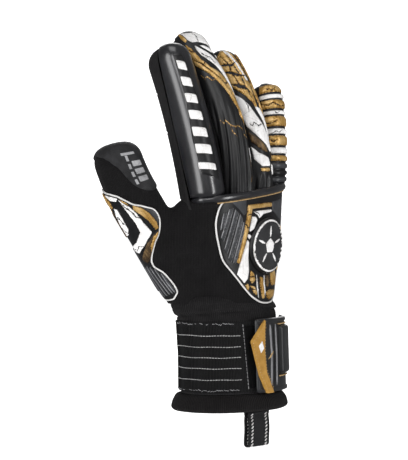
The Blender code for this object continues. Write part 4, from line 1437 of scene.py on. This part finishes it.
def backhand_shapes():
    """Slanted dark ribs edged with painted highlight lines, a gold corner strip, white blades and gold
    ribs, in x and z.
    """
    corner = [(-29, 149.4), (-14.6, 151.0), (-13.8, 141.4), (-16, 139.6), (-21.4, 144.2), (-27, 147.8)]
    shapes = [(corner, SLATE, 0.3, 0.8)]
    bars = [
        [(-34.6, 141.4), (-32.4, 141.6), (-33.6, 130.5), (-35.8, 129.4)],
        [(-30.2, 144.2), (-27.0, 145.2), (-32.6, 121.6), (-34.8, 123.8)],
        [(-24.8, 144.0), (-21.8, 142.2), (-29.0, 112.6), (-31.4, 116.0)],
        [(-19.8, 140.8), (-17.2, 137.6), (-25.2, 106.4), (-27.6, 109.4)],
        [(-15.9, 135.2), (-14.9, 131.0), (-21.2, 105.6), (-23.4, 105.8)],
    ]
    for bar in bars:
        shapes.append((bar, SLATE, 1.1, 0.9, 0.8))
        # Grey ribbons along each bar's two long edges are painted highlights, where light catches the bar's
        # rounded edges
        for ends in ((bar[0], bar[3]), (bar[1], bar[2])):
            shapes.append((ribbon(resampled(ends, 4.0, False), 0.55), LINE, 0.9, 0.3, 0.0))
    gold = [
        (-12.4, 147.1), (0, 148.0), (15.8, 148.8), (16.2, 145.6), (4, 144.9), (-7.9, 144.2),
        (-8.6, 138), (-9.9, 132.1), (-13.2, 119), (-16.8, 106.7), (-18.3, 105.2), (-20.4, 106.5),
        (-17.4, 119), (-14.1, 132.9), (-12.9, 140),
    ]
    shapes.append((gold, GOLD, 1.2, 1.2))
    shapes += [
        ([(-7.2, 138.8), (-3.0, 138.6), (-1.2, 136.4), (-4.6, 129.8), (-8.6, 127.9), (-9.2, 129.0)],
         WHITE, 0.9, 0.8),
        ([(-10.2, 126.4), (-6.8, 125.6), (-8.4, 122.4), (-10.9, 124.4)], WHITE, 0.9, 0.6),
        ([(-11.0, 122.4), (-9.2, 120.8), (-9.2, 110), (-8.7, 100), (-10.2, 94.2), (-13.4, 91.4),
          (-20.0, 98.0), (-17.0, 106)], WHITE, 0.9, 0.8),
        ([(-5.8, 142.4), (6, 143.2), (16.4, 143.7), (16.9, 142.0), (6, 140.4), (1.6, 137.4), (-0.6, 139.8),
          (-3.6, 141.0)],
         WHITE, 0.7, 0.8),
        ([(-6.6, 100.4), (-3.2, 98.2), (-1.6, 93.2), (-5.2, 90.8), (-7.4, 93.4)], GOLD, 1.1, 1.1),
        ([(-7.4, 89.4), (-3.2, 88.8), (-0.9, 84.6), (-1.8, 82.0), (-5.0, 84.4)], GOLD, 1.1, 1.1),
        (ribbon([(0.2, 97), (0.8, 92), (0.6, 86), (0.2, 80.4)], 1.3), WHITE, 0.8, 0.5, 0.0),
        ([(4.2, 95.6), (7.6, 95.0), (8.2, 86), (7.0, 79.6), (4.6, 79.8), (4.0, 88)], GOLD, 1.3, 1.5),
        ([(11.4, 96.4), (14.6, 96.8), (15.4, 90), (13.8, 87.2), (11.4, 89.4)], DARK_GOLD, 1.1, 1.2),
        ([(10.6, 84.2), (16, 85.6), (24, 85.8), (22.4, 81.0), (14, 78.6), (11.0, 80)], GOLD, 1.1, 1.2),
        ([(19.2, 98.2), (24.6, 101), (28.6, 95), (27.5, 88.6), (22, 88.4), (18.4, 91)], GOLD, 1.1, 1.3),
        ([(9.4, 96.4), (10.4, 96.4), (10.2, 86.4), (9.2, 80.8), (8.4, 84)], WHITE, 0.8, 0.4),
        ([(-12.6, 89.8), (-9.6, 91.2), (-8.6, 88.0), (-10.4, 85.8)], GOLD, 1.0, 0.9),
        ([(18, 149.2), (34, 151.2), (36, 141), (31, 135.4), (24, 140.6), (18, 143)], SLATE, 0.5, 1.0),
        ([(33.6, 133), (37.4, 127), (36.2, 110), (31.4, 99), (29.6, 104), (33.6, 114), (34.4, 124)],
         GOLD, 1.1, 1.2),
    ]
    for line in (
        [(-12.8, 139.6), (-10.6, 140.6), (-8.2, 139.8)],
        [(-14.2, 133.8), (-11.6, 131.2), (-9.6, 131.4)],
        [(-7.2, 95.4), (-4.4, 96.2), (-2.4, 95.0)],
        [(-7.0, 87.6), (-4.2, 86.2), (-2.2, 86.8)],
        [(-5.6, 142.6), (0.2, 141.0), (2.6, 138.2)],
    ):
        shapes.append((ribbon(resampled(line, 1.5, False), 0.6), BLACK, 0.2, 0.3, 0.0))
    return shapes


def make_backhand():
    """The embossed panel on the back of the hand, its piping, the badge and the padded bar above."""
    outline = on_back(resampled(rounded(BACK_PANEL, 4.0, 4), 3.0))
    shapes = [(on_back(resampled(shape, 3.0)), *looks) for shape, *looks in backhand_shapes()]
    panel = SurfacePanel(HAND, outline, shapes, PANEL_LIFT, 1.1, 1.2, 1.6, 0.9)
    made = panel.build(["backhand_print"], inks(*HAND_INKS))[0]
    attach(made, ["backhand_panel"], "hand")
    line = resampled(outline, 3.0)
    places = HAND.at(line[:, 0], line[:, 1], PANEL_LIFT + 0.7)
    trim("backhand_piping", [tube_along(places, 0.65, 8, True)], "piping_white", "hand")

    disc = on_back(circle(BADGE_CENTRE, BADGE_RADIUS, 72))
    marks = [
        (on_back(circle(BADGE_CENTRE, 18.9, 72)), 1, 0.9, 0.5, 0.0),
        (on_back(circle(BADGE_CENTRE, 17.6, 72)), 2, 0.35, 0.6, 0.0),
        (on_back(circle(BADGE_CENTRE, 5.6, 5, 90.0)), 1, 0.7, 0.5, 0.4, True),
    ]
    for spoke in range(5):
        turn = math.radians(90.0 + 72.0 * spoke)
        way = np.array([math.cos(turn), math.sin(turn)])
        line = [np.array(BADGE_CENTRE) + way * reach for reach in (6.6, 10.0, 14.2)]
        marks.append((on_back(ribbon(line, 1.9)), 1, 0.7, 0.4, 0.0, True))
    badge = SurfacePanel(HAND, disc, marks, -0.6, 2.2, 1.6, 2.6, 0.9)
    made = badge.build(["badge_disc"], inks("black", "white", "badge"))[0]
    attach(made, ["backhand_badge"], body="hand")

    degrees = np.linspace(188.0, 8.0, 90)
    taper = np.sqrt(np.clip(np.sin(np.linspace(0.05, math.pi - 0.05, 90)) * 3.0, 0.0, 1.0))
    spine = HAND.at(degrees, HAND_TOP, -1.7) + np.array([0.0, 0.0, 4.6])
    lower = HAND.at(degrees, HAND_TOP, -0.9) + np.array([0.0, 0.0, 1.7])
    bar = trim("knuckle_roll", [tube_along(spine, 2.7 * taper, 16)], "gloss", "hand")
    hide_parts("knuckle_bar")
    trim("knuckle_piping", [tube_along(lower[22:-6], 0.42, 8)], "thread_tan", "hand")


# Degrees round the palm are about this many mm
HAND_DEGREE = 0.62
PALM_OUTLINE = [
    (339, 148), (300, 150), (246, 150), (236, 147), (238, 128), (243, 112), (244, 97), (240, 84.5),
    (252, 83), (270, 82.5), (310, 83), (338, 88),
]


def make_palm():
    """The palm's foam with bending grooves, and stitches round its edge."""
    outline = rounded(resampled(PALM_OUTLINE, 20.0), 4.0, 3)
    grooves = []
    scale = [HAND_DEGREE, 1.0]
    for line in (
        [(336, 132), (310, 128), (280, 131), (246, 140)],
        [(336, 114), (312, 112), (284, 116), (252, 126), (236, 134)],
        [(256, 86), (250, 98), (238, 112), (230, 122)],
    ):
        path = resampled(np.asarray(line, float) * scale, 4.0, False)
        grooves.append((ribbon(path, 1.8) / scale, 0, -0.9, 0.9, 0.0))
    panel = SurfacePanel(HAND, outline, grooves, -2.8, 2.4, 2.6, 2.0, 1.4)
    palm = panel.build(["palm_foam"], inks("palm"))[0]
    attach(palm, ["palm_latex"], "hand")
    line = resampled(rounded(resampled(shrunk(PALM_OUTLINE, 0.955), 20.0), 4.0, 3), 1.5)
    path = HAND.at(line[:, 0], line[:, 1], -0.5)
    threads = stitches(np.vstack([path, path[:1]]), 2.2, 0.9, 0.24)
    trim("palm_stitching", threads, "thread_grey", "hand")


def shrunk(loop, share):
    """A loop drawn in towards its middle."""
    loop = np.asarray(loop, float)
    middle = (loop.min(0) + loop.max(0)) / 2.0
    return middle + (loop - middle) * share


# ---------------------------------------------------------------- the cuff


def cuff_tube():
    """The bandage's surface, carried straight on above and below it."""
    heights = np.arange(-4.0, 84.1, 0.5)
    held = np.clip(heights, 14.6, 64.4)
    rows = np.array(CUFF_SECTIONS)
    columns = [np.interp(held, rows[:, 0], rows[:, k]) for k in range(1, 5)]
    centres = np.stack([columns[0], columns[1], heights], axis=1)
    sides = np.tile([1.0, 0.0, 0.0], (len(heights), 1))
    backs = np.tile([0.0, -1.0, 0.0], (len(heights), 1))
    return Tube(heights, centres, sides, backs, columns[2], columns[3], HAND_POWER)


CUFF = cuff_tube()
FULL_TURN = np.linspace(0.0, 360.0, 720, endpoint=False)


def ring_piece(name, tube, profile, finish, relief=None):
    """A closed ring round the cuff from a profile of heights and lifts, with optional relief."""
    rings, cloth = [], []
    profile = resampled(profile, 1.6)
    run = np.concatenate([[0.0], np.cumsum(np.linalg.norm(np.diff(profile, axis=0), axis=1))])
    for (height, lift), distance in zip(profile, run):
        extra = 0.0 if relief is None else relief(FULL_TURN, height, lift)
        rings.append(tube.at(FULL_TURN, np.full(len(FULL_TURN), height), lift + extra))
        cloth.append(np.stack([FULL_TURN * 0.64, np.full(len(FULL_TURN), distance)], axis=1))
    made = closed_profile_mesh(name, rings)
    set_cloth(made, np.vstack(cloth))
    dress(made, finish)
    return made


def plain_panel(name, outline, finish, lift, height, edge, wall, spacing):
    """A panel of one finish on the cuff, with no shapes on it."""
    return SurfacePanel(CUFF, outline, [], lift, height, edge, wall, spacing).build([name], inks(finish))[0]


def folds(count, depth, seed):
    """Soft uneven folds round a ring."""
    chance = random.Random(seed)
    waves = []
    for _ in range(7):
        waves.append((chance.randint(3, count), chance.uniform(0.0, 6.28), chance.uniform(0.3, 1.0)))

    def at(degrees, height):
        total = 0.0
        for turns, shift, weight in waves:
            total = total + weight * np.sin(np.radians(degrees) * turns + shift + height * 0.11 * weight)
        return depth * total / 3.0

    return at


def make_cuff():
    """The hem, the ribbed elastic with its stripes, the linings and the knit band at the wrist."""
    hem_folds = folds(16, 0.22, 3)
    roll = [
        (0.9, -6.0), (4.2, -7.8), (12.0, -7.8), (12.3, -3.0), (12.2, -1.2), (10.6, -0.9), (8.4, -1.1),
        (6.0, -0.5), (3.0, -0.1), (1.2, -0.4), (0.1, -2.0),
    ]

    def puckers(turn, height, lift):
        return hem_folds(turn, height) * float(lift > -2.8)

    hem = ring_piece("hem_roll", HAND, rounded(roll, 0.8, 2), "hem", puckers)
    attach(hem, ["hem"], "cuff")

    def ribs(turn, height, lift):
        if lift < -1.6:
            return 0.0
        fade = float(smooth_step(14.9, 16.2, height) * smooth_step(64.2, 62.8, height))
        return 0.2 * np.cos(np.radians(turn) * 180.0) * fade + 0.15 * hem_folds(turn, height)

    band = [(14.7, -3.0), (64.3, -3.0), (64.3, -0.9), (63.6, -0.6), (15.4, -0.6), (14.7, -0.9)]
    bandage = ring_piece("elastic_band", HAND, band, "elastic", ribs)
    attach(bandage, ["elastic_bandage"], "cuff")
    sleeve = [(12.9, -4.7), (64.2, -4.7), (64.2, -3.5), (12.9, -3.5)]
    lining = ring_piece("cuff_towelling", HAND, sleeve, "lining")
    attach(lining, ["cuff_lining"], body="cuff")

    chance = random.Random(11)
    threads = []
    for height in (54.8, 46.8, 39.2, 31.5, 23.5):
        turn = np.linspace(116.0, 354.0, 420)
        wander = 0.16 * np.sin(np.radians(turn) * 9.0 + height)
        path = HAND.at(turn, np.full(len(turn), height) + wander, -0.3)
        threads += stitches(path, 1.5, 0.5, 0.24)
    trim("elastic_stripes", threads, "thread_pale", "cuff")
    edge = []
    runs = [(63.0, 120.0, 205.0), (15.9, 116.0, 210.0), (63.0, 205.0, 350.0), (15.9, 210.0, 350.0)]
    for base, first, last in runs:
        turn = first
        while turn < last:
            step = chance.uniform(1.6, 4.2)
            turns = np.linspace(turn, turn + step, 4)
            heights = base + np.linspace(0.0, chance.uniform(-0.9, 0.9), 4)
            if chance.random() < 0.8:
                edge.append(tube_along(HAND.at(turns, heights, -0.25), 0.2, 6))
            turn += step + chance.uniform(0.1, 1.4)
    seam_turn = np.linspace(112.5, 107.5, 40)
    seam = HAND.at(seam_turn, np.linspace(62.5, 16.0, 40), -0.1)
    edge += stitches(seam, 1.9, 0.7, 0.2)
    trim("elastic_stitching", edge, "thread_grey", "cuff")

    corners = [(109.5, 61.5), (105.0, 17.0), (34.5, 17.0), (34.5, 61.5)]
    pad = plain_panel("fastener_patch", resampled(corners, 6.0), "pile", -0.5, 0.9, 0.7, 0.9, 1.6)
    attach(pad, ["loop_pad"], body="cuff")
    corners = [(21.5, 14.9), (21.5, 64.2), (0.0, 64.2), (0.0, 14.9)]
    anchor = plain_panel("strap_root", resampled(corners, 6.0), "strap", -0.4, 1.6, 0.9, 1.2, 1.6)
    attach(anchor, ["strap_anchor"], body="cuff")

    wrist_folds = folds(22, 0.5, 8)

    def arch(turn, height, lift):
        if lift < -3.0:
            return 0.0
        crest = 69.6 + 2.8 * np.sin(np.radians(turn))
        closing = smooth_step(82.6, 79.0, height)
        over = 1.3 * smooth_step(crest - 0.5, crest + 0.7, height) * closing
        groove = -1.2 * np.exp(-(((height - crest + 0.3) / 0.8) ** 2))
        crease = -0.5 * np.exp(-(((height - crest - 5.2) / 0.8) ** 2))
        swell = 2.2 * np.exp(-(((turn - 225.0) / 60.0) ** 2)) * smooth_step(66.0, 75.0, height) * closing
        tuck = 3.0 * smooth_step(150.0, 112.0, turn) * smooth_step(70.0, 80.0, height)
        return groove + crease + over + swell - tuck + wrist_folds(turn, height) * 0.7

    sleeve = [
        (63.2, -4.6), (82.0, -4.6), (82.8, -3.4), (82.2, -2.2), (78.0, -1.6), (74.0, -1.5),
        (70.0, -1.6), (66.0, -1.4), (63.2, -1.9),
    ]
    wrist = ring_piece("wrist_knit", HAND, sleeve, "band", arch)
    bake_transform(wrist)
    attach(wrist, ["wrist_band"])


# ---------------------------------------------------------------- the strap and the pull loop

TAB_SHAPE = [
    (91.5, 66.0), (100.0, 58.4), (108.4, 50.8), (104.6, 39.0), (100.0, 26.0), (92.0, 12.9),
    (84.4, 12.9), (88.0, 20.0), (92.0, 29.0), (93.2, 43.0), (92.6, 56.0),
]


def make_strap():
    """The closing strap with moulded lips, lines, a raised pad, its hook strip and the gold pull tab."""
    outline = [(100.5, 13.2), (100.5, 66.2), (23.0, 66.2), (23.0, 13.2)]
    shapes = [
        ([(99, 62.9), (24.5, 62.9), (24.5, 65.8), (99, 65.8)], 0, 0.8, 0.9),
        ([(99, 13.6), (24.5, 13.6), (24.5, 16.6), (99, 16.6)], 0, 0.8, 0.9),
        ([(72.6, 23.4), (72.6, 61.8), (40.0, 61.8), (40.0, 23.4)], 1, 0.2, 0.6),
    ]
    for turn, ink in ((84.6, 2), (80.0, 1), (76.4, 2)):
        line = resampled([(turn, 18.0), (turn - 1.6, 40.0), (turn, 61.6)], 4.0, False)
        shapes += cracks([line], 0.7, ink, 0.5, 0.3, 0.0)
    shapes += cracks([[(88, 37.0), (85, 38.5), (82.6, 41.0), (80.6, 42.4)]], 0.6, 3, 0.4, 0.3, 0.0)
    outline = resampled(rounded(outline, 3.0, 3), 5.0)
    panel = SurfacePanel(CUFF, outline, shapes, 2.8, 1.6, 1.1, 1.5, 1.0)
    strap = panel.build(["strap_latex"], inks("strap", "black", "line_grey", "thread_tan"))[0]
    attach(strap, ["strap"], body="strap")

    outline = resampled(rounded([(71.0, 25.6), (71.0, 60.4), (43.0, 60.4), (43.0, 25.6)], 3.0, 3), 5.0)
    pad = plain_panel("strap_cushion", outline, "strap", 4.3, 3.0, 2.6, 1.8, 1.2)
    attach(pad, ["strap_pad"], "strap")
    turn = np.linspace(72.6, 41.6, 60)
    cords = [tube_along(CUFF.at(turn, np.full(60, height), 5.0), 0.5, 8) for height in (61.6, 24.4)]
    trim("strap_lines", cords, "thread_tan", "strap")

    lozenge = [(101.0, 47.2), (97.0, 50.6), (95.0, 45.4), (98.6, 42.0)]
    outline = resampled(rounded(TAB_SHAPE, 1.2, 3), 3.0)
    panel = SurfacePanel(CUFF, outline, [(lozenge, 1, 0.2, 0.3, 0.3, True)], 5.0, 1.9, 0.8, 2.4, 0.9)
    tab = panel.build(["gold_tab"], inks("tab", "white"))[0]
    attach(tab, ["pull_tab"], body="strap")
    edge = resampled(shrunk(TAB_SHAPE, 0.86), 1.0)
    path = CUFF.at(edge[:, 0], edge[:, 1], 6.95)
    dots = stitches(np.vstack([path, path[:1]]), 0.8, 1.4, 0.2)
    trim("tab_stitching", dots, "thread_tan", "strap")

    outline = resampled([(88.0, 18.0), (88.0, 61.0), (34.5, 61.0), (34.5, 18.0)], 6.0)
    hook = plain_panel("hook_strip", outline, "hooks", 1.2, 0.9, 0.5, 0.7, 1.6)
    attach(hook, ["strap_hook"], body="strap")


LOOP_CENTRE_X = 5.5
LOOP_Y = -20.6
LOOP_BOTTOM = -26.6
LOOP_HALF_GAP = 1.9
LOOP_HALF_WIDTH = 11.8
WEBBING = 1.5


def make_loop():
    """The folded webbing loop with two rows of twisted white stitching, and its sewn end."""
    fold_height = LOOP_BOTTOM + LOOP_HALF_GAP + WEBBING / 2.0
    path = [(-2.0, -1.5), (-LOOP_HALF_GAP * 0.75, -4.0), (-LOOP_HALF_GAP, -8.0)]
    for degrees in np.linspace(180.0, 360.0, 25):
        turn = math.radians(degrees)
        path.append((LOOP_HALF_GAP * math.cos(turn), fold_height + LOOP_HALF_GAP * math.sin(turn)))
    path += [(LOOP_HALF_GAP, -8.0), (LOOP_HALF_GAP * 0.75, -4.0), (2.0, -1.5)]
    path = resampled(path, 0.5, False)
    ahead = unit(np.gradient(path, axis=0))
    out = np.stack([-ahead[:, 1], ahead[:, 0]], axis=1)
    across = np.linspace(-LOOP_HALF_WIDTH, LOOP_HALF_WIDTH, 49)
    edge = np.sqrt(np.clip(1.0 - (np.abs(across) / LOOP_HALF_WIDTH) ** 24, 0.05, 1.0))
    sway = 0.25 * np.sin(path[:, 1] * 0.35)
    rings, cloth = [], []
    run = np.arange(len(path)) * 0.5
    for side in (1.0, -1.0):
        order = range(len(across)) if side > 0 else reversed(range(len(across)))
        for column in order:
            ridge = 0.06 * math.cos(across[column] * math.pi / 0.9)
            offset = side * (WEBBING / 2.0 * edge[column] + ridge)
            place = path + out * offset
            sideways = across[column] + LOOP_CENTRE_X + sway
            rings.append(np.stack([sideways, place[:, 0] + LOOP_Y, place[:, 1]], axis=1))
            cloth.append(np.stack([np.full(len(path), across[column]), run], axis=1))
    loop = closed_profile_mesh("loop_webbing", rings, closed_round=False)
    set_cloth(loop, np.vstack(cloth))
    dress(loop, "webbing")
    attach(loop, ["pull_loop"], body="pull_loop")

    thread = []
    for row in (-8.2, 7.2):
        for face in (1.0, -1.0):
            line = path + out * (face * (WEBBING / 2.0 + 0.12))
            points = np.stack([row + LOOP_CENTRE_X + sway, line[:, 0] + LOOP_Y, line[:, 1]], axis=1)
            for start in range(2, len(points) - 4, 5):
                piece = points[start : start + 4].copy()
                piece[:, 0] += np.linspace(-1.0, 1.0, 4) * face
                thread.append(tube_along(piece, [0.3, 0.5, 0.5, 0.3], 6))
    trim("loop_stitching", thread, "thread_white", "pull_loop")

    block = []
    sideways = np.linspace(-LOOP_HALF_WIDTH, LOOP_HALF_WIDTH, 20) + LOOP_CENTRE_X
    for side in (-1.0, 1.0):
        depth = np.full(20, LOOP_Y + 1.6 * side)
        rows = [np.stack([sideways, depth, np.full(20, z)], axis=1) for z in np.linspace(2.2, 10.8, 12)]
        block += rows if side < 0 else rows[::-1]
    end = closed_profile_mesh("loop_sewn_end", np.array(block), closed_round=False)
    set_cloth(end, np.array([v.co for v in end.data.vertices])[:, [0, 2]] / MM)
    dress(end, "webbing")
    attach(end, ["loop_anchor"], body="cuff")


# ---------------------------------------------------------------- the scene round the glove


WHITE_LIGHT = (1.0, 1.0, 1.0, 1.0)
FLOOR_GLOW = 0.97
BACKDROP_GLOW = 1.0
WORLD_STRENGTH = 0.12
# Name, place, size and power of each light
SOFTBOXES = (
    ("left", (-1.35, -0.1, 0.45), (0.6, 1.3), 9.0),
    ("right", (0.25, -1.4, 0.3), (0.3, 1.3), 8.0),
    ("front", (-1.1, -1.1, 1.1), (0.9, 0.5), 6.5),
    ("top", (-0.2, -0.2, 1.5), (0.8, 0.8), 3.5),
    ("behind", (0.9, 0.9, 0.6), (0.8, 0.8), 4.0),
)
CAMERA_AZIMUTH = -50.0
CAMERA_ELEVATION = 2.0
CAMERA_DISTANCE = 1.8
CAMERA_TARGET = Vector((0.0, 0.0, 0.120))
CAMERA_LENS = 195.7
# How far the view's middle lies from the target, to the right and up
VIEW_OFFSET = (-0.0186, 0.0085)


def glowing_white(name, strength):
    """White board that also glows a little."""
    paint = bpy.data.materials.new(name)
    paint.use_nodes = True
    shader = paint.node_tree.nodes["Principled BSDF"]
    shader.inputs["Base Color"].default_value = WHITE_LIGHT
    shader.inputs["Roughness"].default_value = 0.9
    shader.inputs["Specular IOR Level"].default_value = 0.0
    shader.inputs["Emission Color"].default_value = WHITE_LIGHT
    shader.inputs["Emission Strength"].default_value = strength
    return paint


def make_stage():
    """A plain white floor, a curved white backdrop behind the glove, and soft studio light."""
    low = CAD_BOX[0].z - 0.0002
    far, high, steps = 7.0, 9.0, 40
    data = bpy.data.meshes.new("floor")
    corners = [(-far, -far, low), (far, -far, low), (far, far, low), (-far, far, low)]
    data.from_pydata(corners, [], [(0, 1, 2, 3)])
    floor = bpy.data.objects.new("floor", data)
    points = []
    for k in range(steps + 1):
        turn = math.radians(CAMERA_AZIMUTH + 180.0 - 105.0 + 210.0 * k / steps)
        x, y = far * 0.97 * math.sin(turn), -far * 0.97 * math.cos(turn)
        points += [(x, y, low - 0.01), (x, y, high)]
    faces = [(2 * k, 2 * k + 2, 2 * k + 3, 2 * k + 1) for k in range(steps)]
    data = bpy.data.meshes.new("backdrop")
    data.from_pydata(points, [], faces)
    backdrop = bpy.data.objects.new("backdrop", data)
    for board, glow in ((floor, FLOOR_GLOW), (backdrop, BACKDROP_GLOW)):
        bpy.context.scene.collection.objects.link(board)
        board.data.materials.append(glowing_white(board.name + "_white", glow))
        board.visible_glossy = False
    backdrop.visible_diffuse = False

    world = bpy.data.worlds.new("studio")
    bpy.context.scene.world = world
    world.use_nodes = True
    sky = world.node_tree.nodes["Background"]
    sky.inputs["Color"].default_value = WHITE_LIGHT
    sky.inputs["Strength"].default_value = WORLD_STRENGTH
    bpy.context.scene.view_settings.view_transform = "Standard"

    for name, place, size, power in SOFTBOXES:
        light = bpy.data.lights.new(name, "AREA")
        light.shape = "RECTANGLE"
        light.size, light.size_y = size
        light.energy = power
        lamp = bpy.data.objects.new(name, light)
        lamp.location = place
        lamp.rotation_euler = (CAMERA_TARGET - Vector(place)).to_track_quat("-Z", "Y").to_euler()
        bpy.context.scene.collection.objects.link(lamp)


def make_camera():
    """The camera, in front of the back of the hand on the thumb's side."""
    turn, rise = math.radians(CAMERA_AZIMUTH), math.radians(CAMERA_ELEVATION)
    back = Vector((math.sin(turn) * math.cos(rise), -math.cos(turn) * math.cos(rise), math.sin(rise)))
    right = Vector((math.cos(turn), math.sin(turn), 0.0))
    up = right.cross(-back)
    data = bpy.data.cameras.new("camera")
    data.lens = CAMERA_LENS
    data.sensor_width = 36.0
    frame_height = CAMERA_DISTANCE * data.sensor_width / data.lens
    data.shift_x = VIEW_OFFSET[0] / frame_height
    data.shift_y = VIEW_OFFSET[1] / frame_height
    camera = bpy.data.objects.new("camera", data)
    camera.location = CAMERA_TARGET + back * CAMERA_DISTANCE
    camera.rotation_euler = (-back).to_track_quat("-Z", "Y").to_euler()
    bpy.context.scene.collection.objects.link(camera)
    bpy.context.scene.camera = camera


# ---------------------------------------------------------------- everything


def finish_body():
    """The knit body, cut open at the wrist and lined. Returns its skin from before the cut."""
    body = make_body()
    skin = BodySkin(body)
    body = open_at_wrist(body)
    dress(body, "knit", "lining")
    set_cloth(body, body_cloth(np.array([v.co for v in body.data.vertices]) / MM))
    blend_along(body, THUMB, *THUMB_BEND, "hand", "thumb_root")
    attach(body, ["knit_back", "thumb_base", "hand_lining"])
    return skin


make_camera()
for finger in DIGITS.values():
    extend(finger, 8.0)
SKIN = finish_body()
for finger_name in FINGERS:
    make_finger(finger_name)
make_thumb()
make_thumb_patch(SKIN)
make_backhand()
make_palm()
make_cuff()
make_strap()
make_loop()
make_stage()
